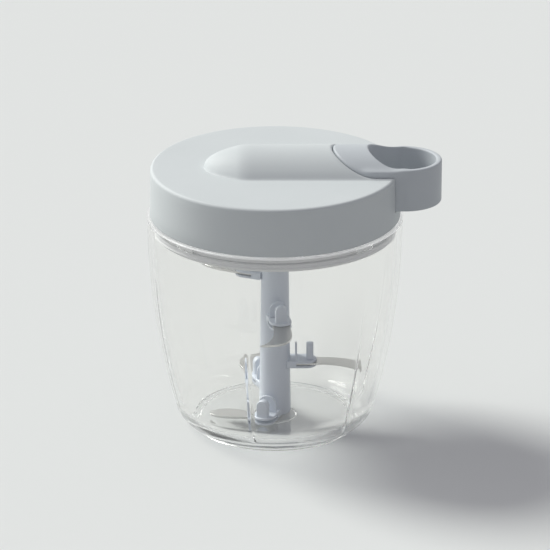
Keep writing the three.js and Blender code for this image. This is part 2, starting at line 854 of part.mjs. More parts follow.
// A tube of rings set square to a line of points, closed at both ends
function tube(points, radius, sides) {
  const up = new THREE.Vector3(0, 0, 1);
  const position = [];
  const index = [];
  points.forEach((point, i) => {
    const before = points[Math.max(i - 1, 0)];
    const after = points[Math.min(i + 1, points.length - 1)];
    const along = after.clone().sub(before).normalize();
    const side = new THREE.Vector3().crossVectors(along, up).normalize();
    const rise = new THREE.Vector3().crossVectors(side, along);
    for (let k = 0; k < sides; k += 1) {
      const angle = (2 * Math.PI * (k + 0.5)) / sides;
      const corner = point.clone()
        .addScaledVector(side, radius * Math.cos(angle))
        .addScaledVector(rise, radius * Math.sin(angle));
      position.push(corner.x, corner.y, corner.z);
    }
  });
  for (let i = 0; i + 1 < points.length; i += 1) {
    for (let k = 0; k < sides; k += 1) {
      const next = (k + 1) % sides;
      const a = i * sides + k;
      const b = i * sides + next;
      index.push(a, b, b + sides, a, b + sides, a + sides);
    }
  }
  const last = (points.length - 1) * sides;
  for (let k = 1; k + 1 < sides; k += 1) {
    index.push(0, k + 1, k, last, last + k, last + k + 1);
  }
  const geometry = new THREE.BufferGeometry();
  geometry.setAttribute("position", new THREE.Float32BufferAttribute(position, 3));
  geometry.setIndex(index);
  const solid = toSolid(geometry);
  return solid.volume() < 0 ? toSolid(flipped(geometry)) : solid;
}

function leastWindingGap(points) {
  let least = Infinity;
  points.forEach((point, i) => {
    for (let j = i + cord.steps / 2; j < points.length; j += 1) {
      least = Math.min(least, point.distanceTo(points[j]));
    }
  });
  console.log("least gap between the cord's turns", (least - 2 * cord.radius).toFixed(2));
}

function makeWinding() {
  const points = windingCurve();
  const last = points[points.length - 1];
  const angle = cord.leaves * degrees;
  const back = new THREE.Vector3(Math.sin(angle), -Math.cos(angle), 0);
  points.push(last.clone().addScaledVector(back, cordEnd() - gap));
  leastWindingGap(points);
  place("cord_winding", tube(points, cord.radius, cord.sides), "cord");
}

// The run of cord from the drum through the guide to the knot, at rest
function makePullCord() {
  const angle = cord.leaves * degrees;
  const along = new THREE.Vector3(-Math.sin(angle), Math.cos(angle), 0);
  const leaves = new THREE.Vector3(Math.cos(angle), Math.sin(angle), 0).multiplyScalar(cord.windRadius);
  leaves.z = cordHeight;
  const corner = leaves.clone().addScaledVector(along, -leaves.y / along.y);
  const points = [leaves.clone().addScaledVector(along, gap)];
  const bendStart = corner.clone().addScaledVector(along, -cord.bend);
  const bendEnd = corner.clone().add(new THREE.Vector3(cord.bend, 0, 0));
  const bend = new THREE.QuadraticBezierCurve3(bendStart, corner, bendEnd);
  points.push(...bend.getPoints(5));
  points.push(new THREE.Vector3(knotPlace() - knot.radius - gap, 0, cordHeight));
  place("pull_cord", tube(points, cord.radius, 8), "cord");
}

// The handle

function knotPlace() {
  return handleTip + handle.cavityWall + gap + knot.radius;
}

function makeHandle() {
  const outline = handleOutline(0, ringCentre);
  const hole = new THREE.Path();
  hole.absarc(holeCentre, 0, holeHalfWidth, Math.PI / 2, 1.5 * Math.PI, false);
  hole.absarc(ringCentre, 0, holeHalfWidth, -Math.PI / 2, Math.PI / 2, false);
  hole.closePath();
  outline.holes.push(hole);
  const full = prism(outline, handleBottom, spineTop, 12);
  const deck = block(
    [handleTip - overrun, -handle.halfWidth - overrun, handleBottom - overrun],
    [ringReach + overrun, handle.halfWidth + overrun, rimTop],
  );
  const arch = spineArch(handleTip - overrun, holeCentre);
  const cavityStart = handleTip + handle.cavityWall;
  const plateGap = handle.plateThickness + gap;
  const half = handle.plateWidth / 2;
  const shelf = handle.plateShelf;
  const recess = block(
    [cavityStart - shelf - gap, -half - shelf - gap, handleBottom - overrun],
    [cavityStart + handle.plateLength + shelf + gap, half + shelf + gap, handleBottom + plateGap],
  );
  const cavity = block(
    [cavityStart, -half, handleBottom],
    [cavityStart + handle.plateLength, half, handleBottom + handle.cavityHeight],
  );
  const cordHole = alongX(cylinder(guideBore, handleTip - overrun, knotPlace(), 12))
    .translate([0, 0, cordHeight]);
  const solid = full.intersect(deck.add(arch)).subtract(recess).subtract(cavity).subtract(cordHole);
  place("pull_handle", solid, "grip");
  const plate = block(
    [cavityStart - shelf, -half - shelf, handleBottom],
    [cavityStart + handle.plateLength + shelf, half + shelf, handleBottom + handle.plateThickness],
  );
  place("handle_plate", plate, "grip");
}

function makeKnot() {
  const ball = new THREE.SphereGeometry(knot.radius, 12, 8);
  ball.translate(knotPlace(), 0, cordHeight);
  place("cord_knot", toSolid(ball), "cord");
}

function makeCoupler() {
  const splitHeight = bushTop + gap + coupler.collarHeight;
  const barrel = cylinder(couplerRadius, couplerBottom, splitHeight);
  const collar = cylinder(couplerRadius + coupler.collar, bushTop + gap, splitHeight);
  const head = hexagon(couplerFlats, splitHeight - gap, couplerTop);
  const socket = hexagon(spindle.hexFlats + 2 * gap, couplerBottom - overrun, socketTop);
  const hole = cylinder(couplerScrew.shankRadius + gap, socketTop - gap, couplerTop + overrun, 12);
  place("drive_coupler", joined([barrel, collar, head]).subtract(socket).subtract(hole), "works");
}

function makeCouplerScrew() {
  const head = cylinder(couplerScrew.headRadius, screwHeadBottom, screwHeadTop, 12);
  const shank = cylinder(couplerScrew.shankRadius, screwHeadTop - gap, screwTop, 10);
  place("coupler_screw", head.add(shank), "steel");
}

makeBowl();
makePin();
makeSpindle();
makeSpindleBush();
makeHousing();
makeBase();
makeSeal();
makeLidScrews();
makeBaseBush();
makeGuide();
makeSpool();
makeSpringCover();
makeSpring();
makeWinding();
makePullCord();
makeCoupler();
makeCouplerScrew();
makeHandle();
makeKnot();

export default product;
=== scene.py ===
import bpy
import bmesh
import math
import numpy as np
from mathutils.geometry import delaunay_2d_cdt
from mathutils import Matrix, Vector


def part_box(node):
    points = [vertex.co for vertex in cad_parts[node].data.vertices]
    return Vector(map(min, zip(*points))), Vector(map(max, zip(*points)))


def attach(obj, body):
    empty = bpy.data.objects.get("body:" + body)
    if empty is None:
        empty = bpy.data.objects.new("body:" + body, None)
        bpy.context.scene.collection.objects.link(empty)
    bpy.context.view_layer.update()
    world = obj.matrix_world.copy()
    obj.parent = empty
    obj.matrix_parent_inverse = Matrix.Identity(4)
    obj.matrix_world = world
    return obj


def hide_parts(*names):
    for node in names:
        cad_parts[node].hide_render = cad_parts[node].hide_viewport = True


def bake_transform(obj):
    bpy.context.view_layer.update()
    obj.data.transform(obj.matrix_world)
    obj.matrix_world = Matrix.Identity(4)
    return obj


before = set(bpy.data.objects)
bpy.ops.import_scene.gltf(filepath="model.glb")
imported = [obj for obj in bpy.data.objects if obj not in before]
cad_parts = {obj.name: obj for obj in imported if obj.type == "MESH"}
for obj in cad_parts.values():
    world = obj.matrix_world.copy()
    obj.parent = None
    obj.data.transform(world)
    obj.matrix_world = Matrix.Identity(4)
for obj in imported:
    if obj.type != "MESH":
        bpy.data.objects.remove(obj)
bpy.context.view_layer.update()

mm = 0.001
print("frame loaded:", len(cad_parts), "nodes")

# clearances and sizes that several pieces share
fit = {
    "gap": 0.3 * mm,        # between pieces that touch
    "past": 2 * mm,         # how far a cutter or a root reaches past the surface that it crosses
    "weld": 0.001 * mm,     # points nearer than this are one
    "rimLedge": 1.5 * mm,   # of the bowl, outside the lid
    "dockGap": 0.35 * mm,   # round the handle in its dock
    "wall": 2.2 * mm,       # of the lid
    "spineRise": 8.8 * mm,  # crown of the spine above the lid's top
    "spineRadius": 21 * mm,
    "noseStart": -13.5 * mm,  # where the spine begins to narrow, from the axis
    "noseLength": 16.2 * mm,
    "noseRound": 0.41,        # power of the narrowing: 0.5 is a parabola
    "noseBlend": 0.08,
    "tipLength": 17.65 * mm,  # rounded inner end of the handle
    "outlineStep": 0.7 * mm,  # between the points of the handle's straight sides
    "ringWall": 2.35 * mm,
    "holeStart": 39.2 * mm,   # finger hole, from the axis
    "rimRise": 3.85 * mm,     # flat rim of the finger hole above the lid's top
}

# places read from the frame
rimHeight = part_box("bowl")[1].z
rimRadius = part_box("bowl")[1].x
lidRadius = rimRadius - fit["rimLedge"]
skirtRadius = -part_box("lid_housing")[0].x
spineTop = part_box("lid_housing")[1].z
lidTop = spineTop - fit["spineRise"]
skirtBottom = rimHeight + fit["gap"]
spineAxis = spineTop - fit["spineRadius"]
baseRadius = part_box("lid_base")[1].x
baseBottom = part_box("lid_base")[0].z
handleLow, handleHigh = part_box("pull_handle")
dockFloor = handleLow.z - fit["dockGap"]
holeHalf = handleHigh.y - fit["ringWall"]
holeCentre = fit["holeStart"] + holeHalf
ringCentre = handleHigh.x - handleHigh.y
rimTop = lidTop + fit["rimRise"]
knotLow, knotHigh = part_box("cord_knot")
cordHeight = (knotLow.z + knotHigh.z) / 2


# scene

view = {
    "camera": (0, -1676.47 * mm, 721.79 * mm),
    "tilt": 68.65,       # degrees from straight down
    "lens": 277.52,      # mm
    "sensor": 36,        # mm across
    "clip": (0.1, 20),   # metres
    "backdrop": (0.752, 0.768, 0.760),
    "bounceShare": 0.62,  # of the floor's colour that it throws back on the object
    "sky": 0.36,
    "skyColour": (0.97, 0.955, 1.03),   # a little cooler than the lamps
    "lampColour": (1.018, 1.027, 0.982),
    # lamps: strength, degrees from the camera towards the left, degrees up, degrees across
    "key": (2.42, 124, 45, 20),
    "side": (1.1, 110, 15, 60),
    "floorHalf": 6,          # metres
    "floorDrop": 0.02 * mm,  # keeps the floor apart from the bowl's foot
}


def addObject(name, data):
    item = bpy.data.objects.new(name, data)
    bpy.context.scene.collection.objects.link(item)
    return item


def feed(tree, node, inputs):
    for name, value in inputs.items():
        if isinstance(value, bpy.types.NodeSocket):
            tree.links.new(value, node.inputs[name])
        else:
            node.inputs[name].default_value = value


def addNode(tree, kind, inputs=None, **values):
    node = tree.nodes.new(kind)
    for name, value in values.items():
        setattr(node, name, value)
    feed(tree, node, inputs or {})
    return node


def maths(tree, operation, *values, clamp=False):
    node = addNode(tree, "ShaderNodeMath", dict(enumerate(values)), operation=operation, use_clamp=clamp)
    return node.outputs[0]


def shades(tree, factor, dark, light):
    mix = addNode(tree, "ShaderNodeMix", {0: factor, 6: (*dark, 1), 7: (*light, 1)}, data_type="RGBA")
    return mix.outputs[2]


def sightRay(tree):   # 1 for what the camera sees, also in gloss and through the clear bowl
    path = addNode(tree, "ShaderNodeLightPath").outputs
    glossy = maths(tree, "MAXIMUM", path["Is Camera Ray"], path["Is Glossy Ray"])
    return maths(tree, "MAXIMUM", glossy, path["Is Transmission Ray"])


def makeCamera():
    data = bpy.data.cameras.new("camera")
    data.lens = view["lens"]
    data.sensor_width = view["sensor"]
    data.clip_start, data.clip_end = view["clip"]
    camera = addObject("camera", data)
    camera.location = view["camera"]
    camera.rotation_euler = (math.radians(view["tilt"]), 0, 0)
    bpy.context.scene.camera = camera


def makeWorld():
    world = bpy.data.worlds.new("studio")
    bpy.context.scene.world = world
    world.use_nodes = True
    tree = world.node_tree
    tree.nodes.clear()
    sky = addNode(tree, "ShaderNodeBackground", {"Color": (*view["skyColour"], 1), "Strength": view["sky"]})
    seen = addNode(tree, "ShaderNodeBackground", {"Color": (*view["backdrop"], 1), "Strength": 1})
    mix = addNode(tree, "ShaderNodeMixShader", {0: sightRay(tree), 1: sky.outputs[0], 2: seen.outputs[0]})
    addNode(tree, "ShaderNodeOutputWorld", {"Surface": mix.outputs[0]}, is_active_output=True)


def makeLamp(name):
    strength, azimuth, elevation, across = view[name]
    data = bpy.data.lights.new(name, "SUN")
    data.energy = strength
    data.color = view["lampColour"]
    data.angle = math.radians(across)
    addObject(name, data).rotation_euler = (math.radians(90 - elevation), 0, -math.radians(azimuth))


def newMaterial(name):
    material = bpy.data.materials.new(name)
    material.use_nodes = True
    return material, material.node_tree, material.node_tree.nodes["Principled BSDF"]


def makeFloor():
    mesh = bpy.data.meshes.new("floor")
    side = view["floorHalf"]
    corners = [(-side, -side, 0), (side, -side, 0), (side, side, 0), (-side, side, 0)]
    mesh.from_pydata(corners, [], [(0, 1, 2, 3)])
    floor = addObject("floor", mesh)
    floor.location.z = -view["floorDrop"]
    material, tree, shader = newMaterial("paleFloor")
    bounce = [value * view["bounceShare"] for value in view["backdrop"]]
    colour = shades(tree, sightRay(tree), bounce, view["backdrop"])
    feed(tree, shader, {"Base Color": colour, "Roughness": 0.9, "Specular IOR Level": 0})
    mesh.materials.append(material)


bpy.context.scene.view_settings.view_transform = "Standard"
makeCamera()
makeWorld()
makeLamp("key")
makeLamp("side")
makeFloor()
print("camera, light and floor made")


# shader groups that several materials use, with sizes in mm

def newGroup(name, given, results):
    group = bpy.data.node_groups.new(name, "ShaderNodeTree")
    for title, value in given.items():
        socket = group.interface.new_socket(title, in_out="INPUT", socket_type="NodeSocketFloat")
        socket.default_value = value
    for title in results:
        group.interface.new_socket(title, in_out="OUTPUT", socket_type="NodeSocketFloat")
    source, result = group.nodes.new("NodeGroupInput"), group.nodes.new("NodeGroupOutput")
    return group, addNode(group, "ShaderNodeTexCoord").outputs["Object"], source.outputs, result


def perMetre(tree, size):   # how often a size in mm goes into a metre
    return maths(tree, "DIVIDE", 1000, size)


def noise(tree, place, scale, detail, roughness, distortion=0):
    node = addNode(tree, "ShaderNodeTexNoise", {"Vector": place, "Scale": scale, "Detail": detail,
                                                "Roughness": roughness, "Distortion": distortion})
    return node.outputs["Fac"]


def spread(tree, value, low, high, start=0, end=1):
    return addNode(tree, "ShaderNodeMapRange", {"Value": value, "From Min": start, "From Max": end,
                                                "To Min": low, "To Max": high}).outputs[0]


def makeMouldGrain():  # fine texture of a moulded surface, with slow cloudy variation
    sizes = {"Grain Size": 0.4, "Cloud Size": 25}
    group, place, given, result = newGroup("mouldGrain", sizes, ["Height", "Cloud"])
    feed(group, result, {"Height": noise(group, place, perMetre(group, given["Grain Size"]), 3, 0.55),
                         "Cloud": noise(group, place, perMetre(group, given["Cloud Size"]), 4, 0.5)})
    return group


def makeHandlingMarks():  # faint smears from use
    group, place, given, result = newGroup("handlingMarks", {"Size": 8, "Amount": 0.5}, ["Smear"])
    smear = noise(group, place, perMetre(group, given["Size"]), 6, 0.65, 1.2)
    feed(group, result, {"Smear": spread(group, smear, 0, given["Amount"], 0.52, 0.75)})
    return group


def makeBrushedLines():  # long fine strokes along X in a metal's face
    sizes = {"Line Width": 0.15, "Line Length": 12}
    group, place, given, result = newGroup("brushedLines", sizes, ["Stroke"])
    along, across = perMetre(group, given["Line Length"]), perMetre(group, given["Line Width"])
    stretch = addNode(group, "ShaderNodeCombineXYZ", {"X": along, "Y": across, "Z": across})
    spot = addNode(group, "ShaderNodeVectorMath", {0: place, 1: stretch.outputs[0]}, operation="MULTIPLY")
    feed(group, result, {"Stroke": noise(group, spot.outputs[0], 1, 4, 0.6)})
    return group


mouldGrain = makeMouldGrain()
handlingMarks = makeHandlingMarks()
brushedLines = makeBrushedLines()


# materials

def smears(tree, amount):
    return addNode(tree, "ShaderNodeGroup", {"Amount": amount}, node_tree=handlingMarks).outputs["Smear"]


def bump(tree, height, strength, depth):
    node = addNode(tree, "ShaderNodeBump", {"Strength": strength, "Distance": depth, "Height": height})
    return node.outputs[0]


def makeMouldedPlastic(name, look):
    material, tree, shader = newMaterial(name)
    sizes = {"Grain Size": look["grainSize"], "Cloud Size": look["cloudSize"]}
    grain = addNode(tree, "ShaderNodeGroup", sizes, node_tree=mouldGrain).outputs
    satin = spread(tree, grain["Cloud"], look["roughness"] - 0.04, look["roughness"] + 0.04)
    feed(tree, shader, {
        "Base Color": shades(tree, grain["Cloud"], look["dark"], look["light"]),
        "Roughness": maths(tree, "ADD", satin, smears(tree, look["marks"]), clamp=True),
        "Normal": bump(tree, grain["Height"], *look["bump"]),
        "IOR": 1.5,
        "Specular IOR Level": look["shine"],
    })
    return material


# a bump is its strength and its depth, and sizes are in mm
lidLook = {
    "dark": (0.600, 0.636, 0.646), "light": (0.655, 0.690, 0.700), "roughness": 0.56, "shine": 0.36,
    "grainSize": 0.35, "cloudSize": 30, "marks": 0.05, "bump": (0.25, 0.05 * mm),
}
gripLook = {
    "dark": (0.515, 0.548, 0.575), "light": (0.565, 0.600, 0.630), "roughness": 0.5, "shine": 0.36,
    "grainSize": 0.35, "cloudSize": 25, "marks": 0.06, "bump": (0.25, 0.05 * mm),
}
shaftLook = {
    "dark": (0.650, 0.695, 0.765), "light": (0.705, 0.752, 0.822), "roughness": 0.36, "shine": 0.45,
    "grainSize": 0.4, "cloudSize": 18, "marks": 0.05, "bump": (0.15, 0.05 * mm),
}
plugLook = {
    "dark": (0.860, 0.862, 0.855), "light": (0.900, 0.902, 0.895), "roughness": 0.45, "shine": 0.5,
    "grainSize": 0.35, "cloudSize": 26, "marks": 0.05, "bump": (0.2, 0.05 * mm),
}
worksLook = {
    "dark": (0.70, 0.70, 0.67), "light": (0.78, 0.78, 0.75), "roughness": 0.45, "shine": 0.5,
    "grainSize": 0.5, "cloudSize": 14, "marks": 0.05, "bump": (0.2, 0.05 * mm),
}
rubberLook = {
    "dark": (0.780, 0.785, 0.785), "light": (0.830, 0.835, 0.835), "roughness": 0.65, "shine": 0.4,
    "grainSize": 0.25, "cloudSize": 12, "marks": 0.1, "bump": (0.4, 0.05 * mm),
}
lidPlastic = makeMouldedPlastic("lidPlastic", lidLook)
gripPlastic = makeMouldedPlastic("gripPlastic", gripLook)
shaftPlastic = makeMouldedPlastic("shaftPlastic", shaftLook)
plugPlastic = makeMouldedPlastic("plugPlastic", plugLook)
worksPlastic = makeMouldedPlastic("worksPlastic", worksLook)
sealRubber = makeMouldedPlastic("sealRubber", rubberLook)

clearLook = {
    "tint": (0.985, 0.985, 0.975), "roughness": 0.015, "ior": 1.49, "marks": 0.05, "clearness": 1,
    "paintedGlow": 0,
    "shadowTint": (0.996, 0.997, 0.998), "edgeTint": (0.87, 0.875, 0.88), "edgeBlend": 0.3,
    "firstPass": 3, "lastPass": 6,   # turns from which some, and all, rays pass straight through
}
frostLook = {
    "tint": (1, 1, 1), "roughness": 0.3, "ior": 1.4, "marks": 0.08, "clearness": 0.85,
    "paintedGlow": 0.18,   # painted glow: white emission that stands in for the light the wall leads up to the matt land
}


def makeClearPlastic(name, look):
    material, tree, shader = newMaterial(name)
    feed(tree, shader, {
        "Base Color": (*look["tint"], 1),
        "Transmission Weight": look["clearness"],
        "IOR": look["ior"],
        # emission here is a painted glow, not a lamp: the frosted rim land shines by it
        "Emission Color": (1, 1, 1, 1),
        "Emission Strength": look["paintedGlow"],
        "Roughness": maths(tree, "ADD", smears(tree, look["marks"]), look["roughness"]),
    })
    facing = addNode(tree, "ShaderNodeLayerWeight", {"Blend": clearLook["edgeBlend"]}).outputs["Facing"]
    path = addNode(tree, "ShaderNodeLightPath").outputs
    steepness = 1 / (clearLook["lastPass"] - clearLook["firstPass"])
    offset = -steepness * clearLook["firstPass"]
    late = maths(tree, "MULTIPLY_ADD", path["Ray Depth"], steepness, offset, clamp=True)
    soft = maths(tree, "MAXIMUM", path["Is Shadow Ray"], path["Is Diffuse Ray"])
    tint = shades(tree, facing, clearLook["shadowTint"], clearLook["edgeTint"])
    passing = addNode(tree, "ShaderNodeBsdfTransparent", {"Color": tint})
    mix = addNode(tree, "ShaderNodeMixShader", {0: maths(tree, "MAXIMUM", soft, late), 1: shader.outputs[0],
                                                2: passing.outputs[0]})
    feed(tree, tree.nodes["Material Output"], {"Surface": mix.outputs[0]})
    return material


clearPlastic = makeClearPlastic("clearPlastic", clearLook)
frostedPlasticPaintedGlow = makeClearPlastic("frostedPlasticPaintedGlow", frostLook)

bladeLook = {
    "dark": (0.53, 0.525, 0.52), "light": (0.62, 0.615, 0.605), "roughness": 0.34, "lineWidth": 0.12,
    "lineLength": 10, "marks": 0.12, "bump": (0.08, 0.04 * mm),
}
pinLook = {
    "dark": (0.56, 0.56, 0.56), "light": (0.68, 0.68, 0.68), "roughness": 0.3, "lineWidth": 0.2,
    "lineLength": 6, "marks": 0.12, "bump": (0.1, 0.04 * mm),
}


def makeSteel(name, look):
    material, tree, shader = newMaterial(name)
    sizes = {"Line Width": look["lineWidth"], "Line Length": look["lineLength"]}
    lines = addNode(tree, "ShaderNodeGroup", sizes, node_tree=brushedLines).outputs["Stroke"]
    feed(tree, shader, {
        "Base Color": shades(tree, lines, look["dark"], look["light"]),
        "Roughness": maths(tree, "ADD", smears(tree, look["marks"]), look["roughness"]),
        "Metallic": 1,
        "Normal": bump(tree, lines, *look["bump"]),
    })
    return material


bladeSteel = makeSteel("bladeSteel", bladeLook)
pinSteel = makeSteel("pinSteel", pinLook)

braidLook = {
    "dark": (0.55, 0.56, 0.56), "light": (0.83, 0.84, 0.83), "roughness": 0.85, "strand": 0.5,
    "bump": (0.7, 0.1 * mm), "sheen": 0.2,
}


def makeBraid():
    material, tree, shader = newMaterial("braidedCord")
    place = addNode(tree, "ShaderNodeTexCoord").outputs["Object"]
    scale = 1000 / braidLook["strand"]
    one = addNode(tree, "ShaderNodeTexWave", {"Vector": place, "Scale": scale / 6, "Distortion": 1.5},
                  bands_direction="DIAGONAL")
    two = addNode(tree, "ShaderNodeTexVoronoi", {"Vector": place, "Scale": scale})
    weave = maths(tree, "MULTIPLY", one.outputs["Fac"], two.outputs["Distance"])
    feed(tree, shader, {
        "Base Color": shades(tree, weave, braidLook["light"], braidLook["dark"]),
        "Roughness": braidLook["roughness"],
        "Sheen Weight": braidLook["sheen"],
        "Normal": bump(tree, weave, *braidLook["bump"]),
    })
    return material


braidedCord = makeBraid()
print("materials made:", len(bpy.data.materials))


# mesh helpers

def smoothFaces(mesh, sharpAngle=35):
    mesh.shade_smooth()
    mesh.set_sharp_from_angle(angle=math.radians(sharpAngle))


def finishPiece(name, verts, faces, material, sharpAngle=35):
    mesh = bpy.data.meshes.new(name)
    mesh.from_pydata([tuple(point) for point in verts], [], faces)
    work = bmesh.new()
    work.from_mesh(mesh)
    bmesh.ops.remove_doubles(work, verts=work.verts, dist=fit["weld"])
    bmesh.ops.recalc_face_normals(work, faces=work.faces)
    work.to_mesh(mesh)
    work.free()
    smoothFaces(mesh, sharpAngle)
    mesh.materials.append(material)
    return addObject(name, mesh)


def settle(piece, body, slot, *nodes):
    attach(piece, body)
    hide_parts(*nodes)


def combine(piece, others, operation, sharpAngle=35):
    for other in others:
        modifier = piece.modifiers.new("cut", "BOOLEAN")
        modifier.operation = operation
        modifier.object = other
        modifier.solver = "EXACT"
    graph = bpy.context.evaluated_depsgraph_get()
    mesh = bpy.data.meshes.new_from_object(piece.evaluated_get(graph))
    piece.modifiers.clear()
    old = piece.data
    piece.data = mesh
    bpy.data.meshes.remove(old)
    for other in others:
        bpy.data.objects.remove(other)
    smoothFaces(mesh, sharpAngle)
    while len(mesh.materials) > 1:
        mesh.materials.pop()
    return piece


def clamp(value):
    return min(max(value, 0), 1)


def softStep(share):
    share = np.clip(share, 0, 1)
    return share * share * (3 - 2 * share)


def smoothMax(one, two, blend):
    mix = np.clip(0.5 + 0.5 * (one - two) / blend, 0, 1)
    return two + (one - two) * mix + blend * mix * (1 - mix)


def arc(centre, radii, start, end, steps):
    # points of a round or elliptical arc, from one angle in degrees to another, with both ends
    wide, tall = radii if isinstance(radii, tuple) else (radii, radii)
    angles = [math.radians(start + (end - start) * i / steps) for i in range(steps + 1)]
    return [(centre[0] + wide * math.cos(a), centre[1] + tall * math.sin(a)) for a in angles]


def bend(start, corner, end, steps):
    # points of a smooth curve that turns at the corner, with both ends
    shares = [i / steps for i in range(steps + 1)]
    return [tuple((1 - s) ** 2 * start + 2 * s * (1 - s) * corner + s ** 2 * end) for s in shares]


def roundOff(points, radii, steps=5):
    # a closed outline of (across, up) points, each corner rounded by its own radius, or all by one
    flat = np.array(points, float)
    radii = radii if isinstance(radii, list) else [radii] * len(flat)
    result = []
    for here, before, after, radius in zip(flat, np.roll(flat, 1, axis=0), np.roll(flat, -1, axis=0), radii):
        toBefore, toAfter = before - here, after - here
        lengthBefore, lengthAfter = np.linalg.norm(toBefore), np.linalg.norm(toAfter)
        toBefore, toAfter = toBefore / lengthBefore, toAfter / lengthAfter
        cosine = float(np.clip(toBefore @ toAfter, -1, 1))
        if radius <= 0 or abs(cosine) > 0.999:
            result.append(tuple(here))
            continue
        reach = min(radius / math.tan(math.acos(cosine) / 2), lengthBefore * 0.49, lengthAfter * 0.49)
        result += bend(here + toBefore * reach, here, here + toAfter * reach, steps)
    return result


def barOutline(radius, low, high):
    return [(0, low), (radius, low), (radius, high), (0, high)]


def joinLoops(last, level):
    # faces between two equally long closed loops of vertex numbers
    count = len(last)
    return [(last[i], last[(i + 1) % count], level[(i + 1) % count], level[i]) for i in range(count)]


def addLevel(verts, faces, last, points):
    # one more loop of points, joined to the loop before it
    level = list(range(len(verts), len(verts) + len(points)))
    verts += points
    faces += joinLoops(last, level)
    return level


def loft(layers, ring=False):
    # equally long closed loops of 3D points, joined in order, and the last to the first in a ring
    count = len(layers[0])
    numbers = [range(level * count, (level + 1) * count) for level in range(len(layers))]
    following = numbers[1:] + numbers[:1] if ring else numbers[1:]
    faces = [face for last, level in zip(numbers, following) for face in joinLoops(last, level)]
    return [tuple(point) for layer in layers for point in layer], faces


def latheMesh(outline, segments=48):
    # a closed outline of (radius, height) turned round Z, with no faces on the axis itself
    count = len(outline)
    layers = []
    for turn in range(segments):
        angle = 2 * math.pi * turn / segments
        cosine, sine = math.cos(angle), math.sin(angle)
        layers.append([(radius * cosine, radius * sine, height) for radius, height in outline])
    verts, faces = loft(layers, True)
    onAxis = [outline[i][0] == 0 and outline[(i + 1) % count][0] == 0 for i in range(count)]
    return verts, [face for face in faces if not onAxis[face[0] % count]]


def lathe(name, outline, material, segments=48, centre=(0, 0)):
    verts, faces = latheMesh(outline, segments)
    verts = [(x + centre[0], y + centre[1], z) for x, y, z in verts]
    return finishPiece(name, verts, faces, material)


def alongCord(outline, segments=48):
    # a closed outline of (radius, place along X) turned round the cord's line
    verts, faces = latheMesh(outline, segments)
    return [(z, y, cordHeight - x) for x, y, z in verts], faces


def ovalOffset(points, amount):
    # a closed outline in the plane, counter-clockwise, moved outwards along its corners' normals
    flat = np.array(points, float)
    ahead = np.roll(flat, -1, axis=0) - flat
    back = flat - np.roll(flat, 1, axis=0)
    ahead /= np.linalg.norm(ahead, axis=1)[:, None]
    back /= np.linalg.norm(back, axis=1)[:, None]
    normal = np.stack([ahead[:, 1] + back[:, 1], -(ahead[:, 0] + back[:, 0])], axis=1)
    normal /= np.linalg.norm(normal, axis=1)[:, None]
    lean = np.maximum((normal * np.stack([ahead[:, 1], -ahead[:, 0]], axis=1)).sum(1), 0.5)
    return flat + normal * (amount / lean)[:, None]


def inside(point, loop):
    flat = np.asarray(loop, float)
    x, y = point
    after = np.roll(flat, -1, axis=0)
    crosses = (flat[:, 1] > y) != (after[:, 1] > y)
    rise = np.where(crosses, after[:, 1] - flat[:, 1], 1)
    at = flat[:, 0] + (y - flat[:, 1]) / rise * (after[:, 0] - flat[:, 0])
    return bool((crosses & (x < at)).sum() % 2)


def loopEdges(loops):
    points, edges = [], []
    for loop in loops:
        start, count = len(points), len(loop)
        points += [tuple(point) for point in loop]
        edges += [(start + i, start + (i + 1) % count) for i in range(count)]
    return points, edges


def capFaces(loops, first):
    # triangles between a closed outer loop and any holes, as faces on vertices that start at first
    points, edges = loopEdges(loops)
    result = delaunay_2d_cdt(points, edges, [], 0, 1e-9)
    kept = []
    for face in result[2]:
        source = [result[3][corner][0] for corner in face]
        centre = np.mean([points[corner] for corner in source], axis=0)
        if inside(centre, loops[0]) and not any(inside(centre, hole) for hole in loops[1:]):
            kept.append(tuple(first + corner for corner in source))
    return kept


def plateMesh(outline, low, high, edge, steps=3):
    # a flat plate of any outline, with rounded edges top and bottom
    layers = []
    for level in range(steps + 1):
        angle = math.pi / 2 * level / steps
        height = low + edge * (1 - math.cos(angle))
        layers.append([(x, y, height) for x, y in ovalOffset(outline, -edge * (1 - math.sin(angle)))])
    layers += [[(x, y, low + high - z) for x, y, z in layer] for layer in reversed(layers)]
    verts, faces = loft(layers)
    flat = [point[:2] for point in layers[0]]
    return verts, faces + capFaces([flat], 0) + capFaces([flat], len(verts) - len(flat))


def blockMesh(low, high):
    outline = [(low[0], low[1]), (high[0], low[1]), (high[0], high[1]), (low[0], high[1])]
    verts, faces = loft([[(x, y, z) for x, y in outline] for z in (low[2], high[2])])
    return verts, faces + [(0, 3, 2, 1), (4, 5, 6, 7)]


def edgeDrop(distance, radius):
    # how far a rounded edge falls below the surface, at a distance in from the edge
    inward = np.clip(distance, 0, radius)
    return radius - np.sqrt(np.maximum(radius ** 2 - (radius - inward) ** 2, 0))


def loopDistance(points, loop):
    # distance of each point from a closed loop
    points = np.asarray(points, float)
    start = np.asarray(loop, float)
    along = np.roll(start, -1, axis=0) - start
    square = np.maximum((along ** 2).sum(1), 1e-18)
    best = np.full(len(points), np.inf)
    for a, d, s in zip(start, along, square):
        share = np.clip(((points - a) @ d) / s, 0, 1)
        best = np.minimum(best, np.linalg.norm(points - a - share[:, None] * d, axis=1))
    return best


